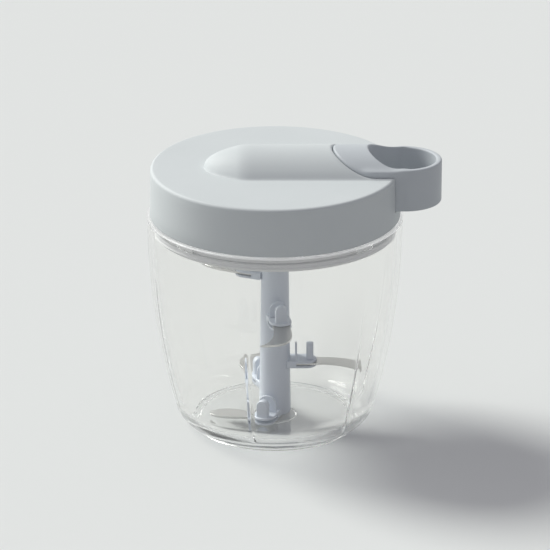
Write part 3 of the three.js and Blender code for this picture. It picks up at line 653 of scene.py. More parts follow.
def tubeMesh(points, radius, up=(0, 0, 1), ring=False, sides=12):
    # a round tube along a line of points, closed at both ends or joined into a ring
    path = np.array(points, float)
    ahead, behind = np.roll(path, -1, axis=0), np.roll(path, 1, axis=0)
    if not ring:
        ahead[-1], behind[0] = path[-1], path[0]
    layers = []
    for point, along in zip(path, ahead - behind):
        along = along / np.linalg.norm(along)
        side = np.cross(along, up)
        side /= np.linalg.norm(side)
        rise = np.cross(side, along)
        angles = [2 * math.pi * k / sides for k in range(sides)]
        layers.append([point + radius * (math.cos(a) * side + math.sin(a) * rise) for a in angles])
    verts, faces = loft(layers, ring)
    if not ring:
        faces += [tuple(range(sides)), tuple(range(len(verts) - sides, len(verts)))]
    return verts, faces


def turnedBy(verts, azimuth):
    cosine, sine = math.cos(math.radians(azimuth)), math.sin(math.radians(azimuth))
    return [(x * cosine - y * sine, x * sine + y * cosine, z) for x, y, z in verts]


# forms that the lid and the handle share

def ovalLoop(inner, outer, half, length, straight):
    # counter-clockwise: straight side, round outer end, straight side, elliptical inner end
    shares = [i / straight for i in range(straight)]
    return ([(inner + (outer - inner) * share, -half) for share in shares]
            + arc((outer, 0), half, -90, 90, 72)[:-1]
            + [(outer + (inner - outer) * share, half) for share in shares]
            + arc((inner, 0), (length, half), 90, 270, 72)[:-1])


def handleOutline(grow, outer=ringCentre):
    inner = handleLow.x + fit["tipLength"]
    straight = int((outer - inner) / fit["outlineStep"])
    return ovalLoop(inner, outer, handleHigh.y + grow, fit["tipLength"] + grow, straight)


def noseScale(along):
    # size of the spine's section at a share of the way along its nose
    scale = np.clip(1 - along, 0, None) ** fit["noseRound"]
    return -smoothMax(-scale, np.full_like(scale, -1), fit["noseBlend"])


def archHeight(x, y):
    # the spine's crown: one arch, which shrinks towards the deck along its round nose
    along = (fit["noseStart"] - np.asarray(x, float)) / fit["noseLength"]
    scale = np.clip(noseScale(along), 0, 1)
    square = (scale * fit["spineRadius"]) ** 2 - y ** 2
    arch = np.sign(square) * np.sqrt(np.abs(square))
    beyond = np.clip(along - 1, 0, None) * fit["noseLength"]
    return lidTop + scale * (spineAxis - lidTop) + arch - beyond


# lid housing

springShape = {"turns": 6, "turnSteps": 90, "inside": 4.7 * mm, "thickness": 0.5 * mm, "hook": 1.6 * mm}
plugShape = {
    "floor": 2.2 * mm,
    "wall": 3.8 * mm,
    "top": 2.6 * mm,     # above the bowl's rim
    "groove": 1.4 * mm,
    "sealGap": 0.05 * mm,  # above and below the seal
    "lugWidth": 8 * mm,
    "lugRise": 1.6 * mm,
    "lugHeight": 2.2 * mm,
    "lugCorner": 0.7 * mm,
    "lugEdge": 0.25 * mm,
    "padRadius": 5 * mm,
    "padHeight": 2.5 * mm,
    "padRoot": 1 * mm,   # above the base's underside
    "corners": [radius * mm for radius in (0.5, 0.8, 0.2, 0.1, 0.1, 0.2, 0.3, 0.3, 0.8, 0.3)],
}
lidShell = {
    "edge": 1.4 * mm,       # rounded rim of the top
    "dockEdge": 1.1 * mm,   # rounded lip of the dock
    "blend": 0.9 * mm,      # soft foot of the spine
    "skirtInside": 50.3 * mm,
    "lowEdge": 0.4 * mm,    # rounded bottom of the skirt
    "segments": 288,
    "edgeRows": (0, 0.02, 0.07, 0.15, 0.27, 0.42, 0.6, 0.8, 1),   # across the rounded rim
    "skirtRows": (0.15, 0.4, 0.7, 1),
    "lines": ((0, 14.5, 1.3), (14.6, 20, 0.45), (20.5, 54, 2.2)),   # beside the spine: from, to, step, in mm
    "lineStep": 1.5 * mm,
    "noseSteps": 34,
    "clear": 0.4 * mm,      # between those lines and the rim
    "wellEdge": 0.2 * mm,
    "postRadius": 4 * mm,   # turns in the spring's case
    "spigotRadius": 3.2 * mm,  # turns in the spool
    "bossRadius": 4.2 * mm,
    "postEdge": 0.3 * mm,
    "screwHole": 1.75 * mm,
    "screwDepth": 12 * mm,
    "cordHole": 2.3 * mm,
}
spineHalf = math.sqrt(fit["spineRadius"] ** 2 - (lidTop - spineAxis) ** 2)


def deckHeight(x, y):
    crown = archHeight(x, y)
    return smoothMax(crown, np.full_like(crown, lidTop), lidShell["blend"])


def lidTopHeight(x, y):
    return deckHeight(x, y) - edgeDrop(lidRadius - np.hypot(x, y), lidShell["edge"])


def lidTopPoints():
    # points that follow the rim and the spine's lines, denser where the surface turns
    rings, lines = [], []
    edge = lidShell["edge"]
    for share in lidShell["edgeRows"]:
        rings += arc((0, 0), lidRadius - edge * share, 0, 360, lidShell["segments"])[:-1]
    for distance in np.concatenate([np.arange(*span) for span in lidShell["lines"]]) * mm:
        lines += [(x, distance) for x in np.arange(fit["noseStart"], lidRadius, lidShell["lineStep"])]
        length = fit["noseLength"] + max(distance - spineHalf, 0)
        for angle in np.linspace(0, math.pi / 2, lidShell["noseSteps"])[1:]:
            narrowed = math.cos(angle)
            x = fit["noseStart"] - length * (1 - narrowed ** (1 / fit["noseRound"]))
            lines.append((x, distance * narrowed))
    lines += [(x, -y) for x, y in lines]
    limit = lidRadius - edge - lidShell["clear"]
    return rings, [point for point in lines if math.hypot(*point) < limit]


def lidBody():
    rings, lines = lidTopPoints()
    count, low = lidShell["segments"], lidShell["lowEdge"]
    points, edges = loopEdges([rings[i:i + count] for i in range(0, len(rings), count)])
    result = delaunay_2d_cdt(points + lines, edges, [], 0, 1e-8)
    found = np.array([tuple(point) for point in result[0]])
    heights = lidTopHeight(found[:, 0], found[:, 1])
    verts = [(x, y, z) for (x, y), z in zip(found, heights)]
    faces = [tuple(face) for face in result[2]]
    last = [next(k for k, sources in enumerate(result[3]) if i in sources) for i in range(count)]
    top, start = found[last] / lidRadius, heights[last]
    levels = [(lidRadius + (skirtRadius - lidRadius) * share, start + (skirtBottom + low - start) * share)
              for share in lidShell["skirtRows"]]
    rounding = arc((skirtRadius - low, skirtBottom + low), low, 0, -90, 3)[1:]
    levels += [(radius, np.full(count, height)) for radius, height in rounding]
    for radius, height in levels:
        ring = [(x * radius, y * radius, z) for (x, y), z in zip(top, height)]
        last = addLevel(verts, faces, last, ring)
    faces.append(tuple(last))
    return finishPiece("lidShell", verts, faces, lidPlastic)


def dockCutter():
    # follows the lid's surface round the opening, so that the lip comes out rounded
    outline = handleOutline(fit["dockGap"], ringCentre + lidRadius)
    lip = lidShell["dockEdge"]
    layers = [[(x, y, dockFloor) for x, y in outline]]
    for step in range(6):
        angle = math.pi / 2 * step / 5
        moved = ovalOffset(outline, lip * (1 - math.cos(angle)))
        x, y = moved.T
        away = np.hypot(x, y)
        surface = lidTopHeight(np.where(away < lidRadius, x, np.array(outline)[:, 0]), y)
        surface = np.where(away < lidRadius - lidShell["edge"], surface, deckHeight(x, y))
        layers.append(list(zip(x, y, surface - lip * (1 - math.sin(angle)))))
    layers.append([(x, y, spineTop + fit["past"]) for x, y in ovalOffset(outline, lip * 1.05)])
    verts, faces = loft(layers)
    count = len(outline)
    faces += [tuple(reversed(range(count))), tuple(range(len(verts) - count, len(verts)))]
    return finishPiece("dockCutter", verts, faces, lidPlastic)


def lidWell():
    outline = barOutline(lidShell["skirtInside"], skirtBottom - fit["past"], lidTop - fit["wall"])
    well = lathe("lidWell", outline, lidPlastic, lidShell["segments"])
    outline = handleOutline(fit["dockGap"] + fit["wall"], ringCentre + lidRadius)
    block = plateMesh(outline, dockFloor - fit["wall"], spineTop, lidShell["wellEdge"])
    return combine(well, [finishPiece("dockBlock", *block, lidPlastic)], "DIFFERENCE")


def atScrews(name, outline):
    made = []
    for i in range(1, 5):
        low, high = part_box(f"lid_screw_{i}")
        centre = ((low.x + high.x) / 2, (low.y + high.y) / 2)
        made.append(lathe(f"{name}{i}", outline, lidPlastic, centre=centre))
    return made


def shellPosts():
    # what stands under the lid's top: the post that carries the spool, and a boss for each lid screw
    gap, edge, hole = fit["gap"], lidShell["postEdge"], lidShell["screwHole"]
    spigot, post, boss = lidShell["spigotRadius"], lidShell["postRadius"], lidShell["bossRadius"]
    root = lidTop - fit["wall"] / 2
    springLow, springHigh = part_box("recoil_spring")
    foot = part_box("drive_coupler")[1].z + 2 * gap
    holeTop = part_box("coupler_screw")[1].z + gap
    outline = [(hole, foot), (spigot, foot), (spigot, springLow.z), (post, springLow.z), (post, root),
               (0, root), (0, holeTop), (hole, holeTop)]
    carrier = lathe("post", roundOff(outline, [edge, edge, 0, edge, 0, 0, 0, 0]), lidPlastic)
    half = springShape["thickness"] / 2 + gap
    slit = blockMesh((-post - gap, -half, springLow.z - gap), (0, half, springHigh.z + gap))
    combine(carrier, [finishPiece("slit", *slit, lidPlastic)], "DIFFERENCE")
    foot = baseBottom + plugShape["floor"] + plugShape["padHeight"] + gap
    holeTop = foot + lidShell["screwDepth"]
    outline = [(hole, foot), (boss, foot), (boss, root), (0, root), (0, holeTop), (hole, holeTop)]
    return [carrier] + atScrews("boss", roundOff(outline, [edge, edge, 0, 0, 0, 0]))


def makeLidShell():
    shell = lidBody()
    guideLow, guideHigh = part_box("cord_guide")
    bar = barOutline(lidShell["cordHole"], guideLow.x - fit["past"], guideHigh.x + fit["past"])
    bar = alongCord(bar, 32)
    combine(shell, [lidWell(), dockCutter(), finishPiece("guideHole", *bar, lidPlastic)], "DIFFERENCE")
    combine(shell, shellPosts(), "UNION")
    settle(shell, "lid", "lid_plastic", "lid_housing")


makeLidShell()
print("lid housing made")


# pull handle

gripShape = {
    "edge": 0.9 * mm,      # rounded outer edge
    "holeEdge": 0.75 * mm,  # rounded edge of the finger hole
    "blend": 2 * mm,
    "archEnd": 0.5 * mm,   # the arch begins to fade this far before the ring's centre
    "archFade": 6 * mm,
    "archDrop": 3 * mm,    # below the rim, where it has faded
    "rimDips": ((55 * mm, 0.75 * mm), (40 * mm, 1.4 * mm)),  # the rim falls by these, inwards of these places
    "dipLength": 8 * mm,
    "lowEdge": 0.5 * mm,
    "plateShelf": 0.95 * mm,
    "plateCorner": 1.2 * mm,
    "plateEdge": 0.25 * mm,
    "cavityHeight": 8 * mm,
    "cordBore": 1.15 * mm,
    "edgeRows": (0, 0.03, 0.1, 0.22, 0.38, 0.58, 0.8, 1),   # across the rounded edges
    "grid": (0.9 * mm, 0.7 * mm),
    "clear": 0.25 * mm,    # between the grid and the rounded edges
}


def gripHeight(x, y):
    # the spine's arch carried on, melting into the rim of the ring, which dips towards the arch
    fade = softStep((x - ringCentre + gripShape["archEnd"]) / gripShape["archFade"])
    arch = archHeight(x, y)
    arch = arch + (rimTop - gripShape["archDrop"] - arch) * fade
    rim = np.full_like(arch, rimTop)
    for place, dip in gripShape["rimDips"]:
        rim = rim - dip * softStep((place - x) / gripShape["dipLength"])
    return np.minimum(smoothMax(arch, rim, gripShape["blend"]), spineTop)


def gripTop(outline, hole):
    sides = ((outline, gripShape["edge"], -1), (hole, gripShape["holeEdge"], 1))
    loops = [ovalOffset(loop, sign * radius * share) for share in gripShape["edgeRows"]
             for loop, radius, sign in sides]
    points, edges = loopEdges(loops)
    clear, (alongStep, acrossStep) = gripShape["clear"], gripShape["grid"]
    grid = [(x, y) for x in np.arange(handleLow.x, handleHigh.x, alongStep)
            for y in np.arange(-handleHigh.y, handleHigh.y, acrossStep)]
    for point, outer, inner in zip(grid, loopDistance(grid, outline), loopDistance(grid, hole)):
        if outer > gripShape["edge"] + clear and inner > gripShape["holeEdge"] + clear:
            if inside(point, outline) and not inside(point, hole):
                points.append(point)
    result = delaunay_2d_cdt(points, edges, [], 0, 1e-8)
    found = np.array([tuple(point) for point in result[0]])
    heights = gripHeight(found[:, 0], found[:, 1])
    for loop, radius, sign in sides:
        heights -= edgeDrop(loopDistance(found, loop), radius)
    centres = [found[list(face)].mean(0) for face in result[2]]
    faces = [tuple(face) for face, centre in zip(result[2], centres)
             if inside(centre, outline) and not inside(centre, hole)]
    sources = {i: k for k, origin in enumerate(result[3]) for i in origin}
    starts = ((0, outline), (len(outline), hole))
    loops = [[sources[start + i] for i in range(len(loop))] for start, loop in starts]
    return [(x, y, z) for (x, y), z in zip(found, heights)], faces, loops


def gripCutters():
    plateLow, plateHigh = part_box("handle_plate")
    gap, shelf = fit["gap"], gripShape["plateShelf"]
    recess = blockMesh((plateLow.x - gap, plateLow.y - gap, handleLow.z - fit["past"]),
                       (plateHigh.x + gap, plateHigh.y + gap, plateHigh.z + gap))
    cavity = blockMesh((plateLow.x + shelf, plateLow.y + shelf, handleLow.z),
                       (plateHigh.x - shelf, plateHigh.y - shelf, handleLow.z + gripShape["cavityHeight"]))
    bore = barOutline(gripShape["cordBore"], handleLow.x - fit["past"], plateLow.x + fit["past"])
    return [finishPiece(name, *mesh, gripPlastic) for name, mesh in
            (("plateRecess", recess), ("knotCavity", cavity), ("cordBore", alongCord(bore, 32)))]


def makeGrip():
    outline, hole = handleOutline(0), ovalLoop(holeCentre, ringCentre, holeHalf, holeHalf, 6)
    verts, faces, tops = gripTop(outline, hole)
    edge = gripShape["lowEdge"]
    bottoms = []
    for last, flat, sign in zip(tops, (outline, hole), (-1, 1)):
        for step in range(5):
            angle = math.pi / 2 * step / 4
            height = handleLow.z + edge * (1 - math.sin(angle))
            ring = [(x, y, height) for x, y in ovalOffset(flat, sign * edge * (1 - math.cos(angle)))]
            last = addLevel(verts, faces, last, ring)
        bottoms.append(last)
    flat = [[verts[i][:2] for i in loop] for loop in bottoms]
    numbers = bottoms[0] + bottoms[1]
    faces += [tuple(numbers[corner] for corner in face) for face in capFaces(flat, 0)]
    grip = finishPiece("pullGrip", verts, faces, gripPlastic)
    combine(grip, gripCutters(), "DIFFERENCE")
    settle(grip, "handle", "grip_plastic", "pull_handle")


def makeGripPlate():
    low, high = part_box("handle_plate")
    outline = roundOff([(low.x, low.y), (high.x, low.y), (high.x, high.y), (low.x, high.y)],
                       gripShape["plateCorner"], 6)
    plate = plateMesh(outline, low.z, high.z, gripShape["plateEdge"])
    settle(finishPiece("gripPlate", *plate, gripPlastic), "handle", "grip_plastic", "handle_plate")


makeGrip()
makeGripPlate()
print("handle made")


# bowl

bowlShape = {
    "wall": 2.6 * mm,
    "lowRadius": 42.5 * mm,
    "lowHeight": 9 * mm,
    "swell": 2.1,
    "cornerRadius": 11 * mm,
    "footRadius": 35 * mm,
    "footWidth": 3 * mm,
    "footDepth": 1.3 * mm,
    "bossRadius": 9 * mm,
    "floorTop": 4.5 * mm,
    "fillet": 9 * mm,
    "rimEdge": 0.5 * mm,
    "frostDepth": 0.6 * mm,
    "ribs": 6,
    "ribAzimuth": -103.5,
    "ribWidth": 2.4 * mm,
    "ribDepth": 0.4 * mm,
    "ribFull": 24 * mm,    # up to here a rib has its full depth
    "ribSlim": 48 * mm,    # from here on only this share of it
    "ribSlimShare": 0.3,
    "ribTop": 71 * mm,
    "ribFade": 9 * mm,
    "seatRadius": 2.9 * mm,
    "seatDepth": 2.2 * mm,
    "seatEdges": (0.3 * mm, 0.2 * mm, 0.5 * mm),   # its corner, its lip and the next row outside it
    "notchHalf": 4.3 * mm,
    "notchDepth": 2.8 * mm,
    "notchReach": 51.9 * mm,
    "notchStep": 0.02 * mm,
    "landDepth": 0.7 * mm,   # of the last straight row below the rim
    "pinEdge": 0.3 * mm,
    "pinTip": 1.6 * mm,
}
notchSide = math.degrees(bowlShape["notchHalf"] / baseRadius)


def bowlRadius(height):
    share = max((rimHeight - height) / (rimHeight - bowlShape["lowHeight"]), 0)
    return rimRadius - (rimRadius - bowlShape["lowRadius"]) * share ** bowlShape["swell"]


def bowlOutside():
    # from the rim down to the axis
    edge, corner, foot = bowlShape["rimEdge"], bowlShape["cornerRadius"], bowlShape["footRadius"]
    points = arc((rimRadius - edge, rimHeight - edge), edge, 90, 0, 4)
    heights = np.linspace(rimHeight - 2 * edge, bowlShape["lowHeight"], 40)
    points += [(bowlRadius(height), height) for height in heights]
    drop = (rimRadius - bowlShape["lowRadius"]) * bowlShape["swell"]
    slope = math.atan(drop / (rimHeight - bowlShape["lowHeight"]))
    centre = (bowlShape["lowRadius"] - corner * math.cos(slope),
              bowlShape["lowHeight"] + corner * math.sin(slope))
    last = math.acos((foot - centre[0]) / corner)
    points += arc(centre, corner, -math.degrees(slope), -math.degrees(last), 12)[1:]
    inner, boss = foot - bowlShape["footWidth"], bowlShape["bossRadius"]
    up = bowlShape["footDepth"] / mm
    # foot ring, hollow and boss: a radius, how far outside it and how high, in mm. Each rounding has one more
    # row beside it, which keeps the long flats flat
    under = [(foot, 0, 0.6), (foot, -0.3, 0.1), (foot, -0.8, 0), (foot, -1.1, 0),
             (inner, 0.8, 0), (inner, 0.5, 0), (inner, 0.1, 0.25),
             (inner, 0, up - 0.4), (inner, -0.4, up), (inner, -0.7, up),
             (boss, 0.7, up), (boss, 0.4, up), (boss, 0, up - 0.3),
             (boss, -0.15, 0.1), (boss, -0.4, 0), (boss, -0.7, 0), (0, 0, 0)]
    return points + [(radius + out * mm, height * mm) for radius, out, height in under]


def bowlInside():
    # from the axis up to the rim: radius, height and how much of a rib and a notch it carries
    wall, floor, fillet = bowlShape["wall"], bowlShape["floorTop"], bowlShape["fillet"]
    seat, depth, edge = bowlShape["seatRadius"], bowlShape["seatDepth"], bowlShape["rimEdge"]
    low = floor + fillet
    middle = bowlRadius(low) - wall - fillet
    corner, lip, row = bowlShape["seatEdges"]
    flat = [(0, floor - depth), (seat - corner, floor - depth), (seat, floor - depth + corner),
            (seat, floor - lip), (seat + lip, floor), (seat + row, floor)]
    flat += [(seat + (middle - seat) * share, floor) for share in (0.35, 0.7, 0.98, 1)]
    rows = [(*point, 0, 0) for point in flat]
    rounding = arc((middle, low), fillet, -90, 0, 16)
    rows += [(*rounding[step], clamp((step - 4.5) / 3), 0) for step in range(1, 17)]
    notchBottom = rimHeight - bowlShape["notchDepth"]
    slim = bowlShape["ribSlimShare"]
    for height in np.linspace(low, notchBottom, 44)[1:-1]:
        deep = clamp((bowlShape["ribSlim"] - height) / (bowlShape["ribSlim"] - bowlShape["ribFull"]))
        rib = clamp((bowlShape["ribTop"] - height) / bowlShape["ribFade"]) * (slim + (1 - slim) * deep)
        rows.append((bowlRadius(height) - wall, height, rib, 0))
    notchFrom, land = notchBottom + bowlShape["notchStep"], rimHeight - bowlShape["landDepth"]
    for height, notch in ((notchBottom, 0), (notchFrom, 1), (land, 1)):
        rows.append((bowlRadius(height) - wall, height, 0, notch))
    rim = arc((rimRadius - wall + edge, rimHeight - edge), edge, 180, 90, 4)[:-1]
    return rows + [(*point, 0, 1) for point in rim]


def bowlAngles():
    # evenly spaced, with extra ones across each rib and at each notch's sides
    angles = set(np.round(np.arange(0, 360, 2.5), 4))
    half = math.degrees(bowlShape["ribWidth"] / 2 / bowlShape["lowRadius"])
    for i in range(bowlShape["ribs"]):
        middle = (bowlShape["ribAzimuth"] + 60 * i) % 360
        angles = {a for a in angles if abs((a - middle + 180) % 360 - 180) > half * 1.6}
        for share in (0, 0.35, 0.65, 0.85, 1, 1.2, 1.5):
            angles |= {round((middle + half * share) % 360, 4), round((middle - half * share) % 360, 4)}
    for i in range(4):
        for offset in (-notchSide - 0.05, -notchSide + 0.05, notchSide - 0.05, notchSide + 0.05):
            angles.add(round((45 + 90 * i + offset) % 360, 4))
    return np.array(sorted(angles))


def ribShare(angles, radius):
    # 1 along a rib's crest, falling away smoothly to both sides
    share = np.zeros(len(angles))
    for i in range(bowlShape["ribs"]):
        middle = bowlShape["ribAzimuth"] + 60 * i
        across = np.abs((angles - middle + 180) % 360 - 180) * math.pi / 180 * radius
        share = np.maximum(share, np.clip(1 - across / bowlShape["ribWidth"] * 1.6, 0, 1))
    return softStep(share)


def makeBowl():
    angles = bowlAngles()
    count = len(angles)
    inNotch = np.abs(angles % 90 - 45) < notchSide
    outside = bowlOutside()
    rows = [(np.full(count, radius), height) for radius, height in outside]
    for radius, height, rib, notch in bowlInside():
        around = radius - bowlShape["ribDepth"] * rib * ribShare(angles, max(radius, 1 * mm))
        if notch:
            around = np.where(inNotch, np.maximum(around, bowlShape["notchReach"]), around)
        rows.append((around, height))
    turn = np.radians(angles)
    layers = [[(r * math.cos(t), r * math.sin(t), height) for r, t in zip(radii, turn)]
              for radii, height in rows]
    verts, faces = loft(layers, True)
    faces = [face for face in faces if face[0] // count != len(outside) - 1]   # none along the axis
    bowl = finishPiece("clearBowl", verts, faces, clearPlastic, 40)
    bowl.data.materials.append(frostedPlasticPaintedGlow)
    # the frosted land also carries the painted glow of its material
    for face in bowl.data.polygons:   # the fine matt land round the top
        if face.center.z > rimHeight - bowlShape["frostDepth"]:
            face.material_index = 1
    settle(bowl, "bowl", "clear_plastic", "bowl")


def makeCentrePin():
    low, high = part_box("centre_pin")
    radii = [0, bowlShape["pinEdge"], bowlShape["pinTip"], 0]
    outline = roundOff(barOutline(high.x, low.z, high.z), radii, 8)
    settle(lathe("centrePin", outline, pinSteel), "bowl", "pin_steel", "centre_pin")


makeBowl()
makeCentrePin()
print("bowl made")


# lid base, seal and screws

screwShape = {
    "headRadius": 3 * mm, "headHeight": 2 * mm, "recess": 1.1 * mm, "slotWidth": 0.9 * mm,
    "shankShare": 0.48, "slotShare": 0.6,   # of the head's radius
    "corners": [radius * mm for radius in (0, 0.6, 0.15, 0.1, 0.4, 0)],
}
sealShape = {"lip": 0.5 * mm, "edge": 0.25 * mm}
bushShape = {"flange": 1.8 * mm, "wall": 1.2 * mm, "flangeHeight": 1 * mm, "edge": 0.2 * mm}
guideShape = {
    "flange": 1.2 * mm, "wall": 0.85 * mm, "flangeLength": 0.8 * mm,
    "corners": [radius * mm for radius in (0.35, 0.25, 0.2, 0.05, 0.2, 0.35)],
}


def plugLugs():
    top = rimHeight - fit["gap"]
    half, corner = plugShape["lugWidth"] / 2, plugShape["lugCorner"]
    inner, reach = baseRadius - fit["past"], baseRadius + plugShape["lugRise"]
    outline = [(inner, -half), (reach, -half), (reach, half), (inner, half)]
    outline = roundOff(outline, [0, corner, corner, 0])
    verts, faces = plateMesh(outline, top - plugShape["lugHeight"], top, plugShape["lugEdge"])
    return [finishPiece(f"lug{i}", turnedBy(verts, 45 + 90 * i), faces, lidPlastic) for i in range(4)]


def makePlug():
    floor = baseBottom + plugShape["floor"]
    inner = baseRadius - plugShape["wall"]
    top = rimHeight + plugShape["top"]
    sealLow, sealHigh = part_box("seal_ring")
    groove = baseRadius - plugShape["groove"]
    grooveLow, grooveHigh = sealLow.z - plugShape["sealGap"], sealHigh.z + plugShape["sealGap"]
    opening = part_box("base_bush")[1].x - bushShape["flange"] + fit["gap"]
    outline = [
        (opening, baseBottom), (baseRadius, baseBottom), (baseRadius, grooveLow), (groove, grooveLow),
        (groove, grooveHigh), (baseRadius, grooveHigh), (baseRadius, top), (inner, top),
        (inner, floor), (opening, floor),
    ]
    plug = lathe("lidPlug", roundOff(outline, plugShape["corners"]), plugPlastic, 192)
    padTop = floor + plugShape["padHeight"]
    pad = barOutline(plugShape["padRadius"], baseBottom + plugShape["padRoot"], padTop)
    combine(plug, plugLugs() + atScrews("pad", pad), "UNION")
    well = barOutline(screwShape["headRadius"] + fit["gap"], baseBottom - fit["past"],
                      baseBottom + screwShape["headHeight"] + 2 * fit["gap"])
    combine(plug, atScrews("well", well), "DIFFERENCE")
    settle(plug, "lid", "lid_plastic", "lid_base")


def makeScrew(name, node):
    low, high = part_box(node)
    x, y = (low.x + high.x) / 2, (low.y + high.y) / 2
    headRadius = (high.x - low.x) / 2
    headTop = low.z + screwShape["headHeight"]
    shank = headRadius * screwShape["shankShare"]
    outline = [(0, low.z), (headRadius, low.z), (headRadius, headTop), (shank, headTop), (shank, high.z),
               (0, high.z)]
    outline = roundOff(outline, screwShape["corners"])
    screw = lathe(name, outline, pinSteel, centre=(x, y))
    half, long = screwShape["slotWidth"] / 2, headRadius * screwShape["slotShare"]
    foot, recess = low.z - fit["past"], low.z + screwShape["recess"]
    arms = [blockMesh((x - along, y - across, foot), (x + along, y + across, recess))
            for along, across in ((long, half), (half, long))]
    combine(screw, [finishPiece("drive", *arm, pinSteel) for arm in arms], "DIFFERENCE")
    settle(screw, "lid", "pin_steel", node)


def makeSeal():
    low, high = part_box("seal_ring")
    inner, outer = baseRadius - plugShape["groove"] + fit["gap"], high.x
    lip = sealShape["lip"]
    third = (high.z - low.z) / 3
    outline = [
        (inner, low.z), (outer - lip, low.z), (outer, low.z + third / 2), (outer - lip, low.z + third),
        (outer - lip, high.z - third), (outer, high.z - third / 2), (outer - lip, high.z), (inner, high.z),
    ]
    seal = lathe("sealRing", roundOff(outline, sealShape["edge"]), sealRubber, 192)
    settle(seal, "lid", "seal_rubber", "seal_ring")


def makeBaseBush():
    low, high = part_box("base_bush")
    outer = high.x
    barrel = outer - bushShape["flange"]
    inner = barrel - bushShape["wall"]
    step = high.z - bushShape["flangeHeight"]
    outline = [(inner, low.z), (barrel, low.z), (barrel, step), (outer, step), (outer, high.z),
               (inner, high.z)]
    bush = lathe("baseBush", roundOff(outline, bushShape["edge"]), worksPlastic, 96)
    settle(bush, "lid", "works_plastic", "base_bush")


def makeCordGuide():
    low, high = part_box("cord_guide")
    outer = high.y
    barrel = outer - guideShape["flange"]
    inner = barrel - guideShape["wall"]
    step = low.x + guideShape["flangeLength"]
    outline = [(inner, low.x), (outer, low.x), (outer, step), (barrel, step), (barrel, high.x),
               (inner, high.x)]
    mesh = alongCord(roundOff(outline, guideShape["corners"]))
    settle(finishPiece("cordGuide", *mesh, pinSteel), "lid", "pin_steel", "cord_guide")


makePlug()
makeSeal()
makeBaseBush()
makeCordGuide()
for number in range(1, 5):
    makeScrew(f"lidScrew{number}", f"lid_screw_{number}")
makeScrew("couplerScrew", "coupler_screw")
print("lid base made")


# spindle and blades

spindleShape = {
    "bottomRadius": 6.8 * mm, "topRadius": 5.6 * mm, "bore": 4.2 * mm, "abovePin": 5.2 * mm,
    "hexLength": 4.7 * mm, "hexFlats": 8 * mm, "hexCorner": 0.5 * mm, "hexEdge": 0.4 * mm,
    "bushWall": 1 * mm, "bushEdge": 0.25 * mm, "bladeGap": 0.15 * mm,
    "corners": [radius * mm for radius in (0.3, 0.7, 0.5, 0, 0, 0.6)],
}
armShape = {
    "length": 17.9 * mm, "width": 9.4 * mm, "height": 3.2 * mm, "pegAt": 14.9 * mm, "pegThickness": 3 * mm,
    "pegWidth": 5 * mm, "pegHeight": 7.2 * mm, "pegEdge": 0.4 * mm, "finAt": 9 * mm, "finThickness": 0.8 * mm,
    "finWidth": 8 * mm, "finHeight": 7 * mm, "finEdge": 0.15 * mm, "root": 4.9 * mm, "edge": 0.45 * mm,
    "neck": 0.6,         # share of the way to its round end at which an arm has its full form
    "sunk": 0.8 * mm,    # of the tongue and the fin, into the arm
}
bladeShape = {
    "rootStart": 9.2 * mm, "rootWidth": 7.2 * mm, "reach": 38.2 * mm, "grind": 2.6 * mm,
    "grindShare": 0.55,   # of the width, at most
    "edgeThickness": 0.12 * mm, "backEdge": 0.12 * mm, "rootStep": 1 * mm, "steps": 28,
}
# the way each blade's arm points, its share of the full reach and its outline
bladePlaces = [(158, 1, "hook"), (-80, 1, "hook"), (0.5, 1, "hook"), (118, 1, "hook"), (-110, 0.8, "sweep")]
# the root's length and, as shares of the reach, the back's curve, the tip and the belly's curve
bladeOutlines = {
    "hook": (5.1 * mm, (0.654, 0.073), (1.06, 0.105), (0.941, -0.337), (0.885, -0.209), (0.707, -0.102)),
    "sweep": (1.9 * mm, (0.491, -0.131), (0.785, -0.818), (0.458, -0.779), (0.278, -0.736), (0.196, -0.393)),
}


def bezier(points, steps):
    result = []
    for i in range(steps + 1):
        t = i / steps
        weights = ((1 - t) ** 3, 3 * t * (1 - t) ** 2, 3 * t * t * (1 - t), t ** 3)
        result.append(tuple(sum(w * p[axis] for w, p in zip(weights, points)) for axis in (0, 1)))
    return result


def bladeEdges(reachShare, outline):
    # the blade's back and its cutting belly, both from root to tip, in the arm's frame
    reach = bladeShape["reach"] * reachShare
    start, half = bladeShape["rootStart"], bladeShape["rootWidth"] / 2
    rootLength, *shares = bladeOutlines[outline]
    backStart, backEnd, tip, bellyStart, bellyEnd = [(x * reach, y * reach) for x, y in shares]
    edges = []
    for side, one, two in ((half, backStart, backEnd), (-half, bellyEnd, bellyStart)):
        curve = bezier([(start + rootLength, side), one, two, tip], bladeShape["steps"])
        edges.append([(start, side), (start + bladeShape["rootStep"], side)] + curve)
    return edges


def bladeMesh(reachShare, outline, low, high):
    # cross-sections from root to tip: flat back, ground down to a thin edge along the belly
    back, belly = bladeEdges(reachShare, outline)
    middle, soft = (low + high) / 2, bladeShape["backEdge"]
    layers = []
    for i, (b, e) in enumerate(zip(np.array(back[:-1]), np.array(belly[:-1]))):
        width = np.linalg.norm(e - b)
        direction = (e - b) / width
        onset = clamp((i - 3) / 4)   # the grind begins after the root
        edgeHalf = (high - low) / 2 * (1 - onset) + bladeShape["edgeThickness"] / 2 * onset
        shoulder = e - direction * min(bladeShape["grind"], width * bladeShape["grindShare"])
        inner = b + direction * min(soft, width * 0.1)
        layers.append([
            (*inner, high), (*shoulder, high), (*e, middle + edgeHalf), (*e, middle - edgeHalf),
            (*shoulder, low), (*inner, low), (*b, low + soft), (*b, high - soft),
        ])
    verts, faces = loft(layers)
    size, tip = len(layers[0]), len(verts)
    faces.append(tuple(range(size)))
    faces += [(tip - size + k, tip - size + (k + 1) % size, tip) for k in range(size)]
    return verts + [(*back[-1], middle)], faces


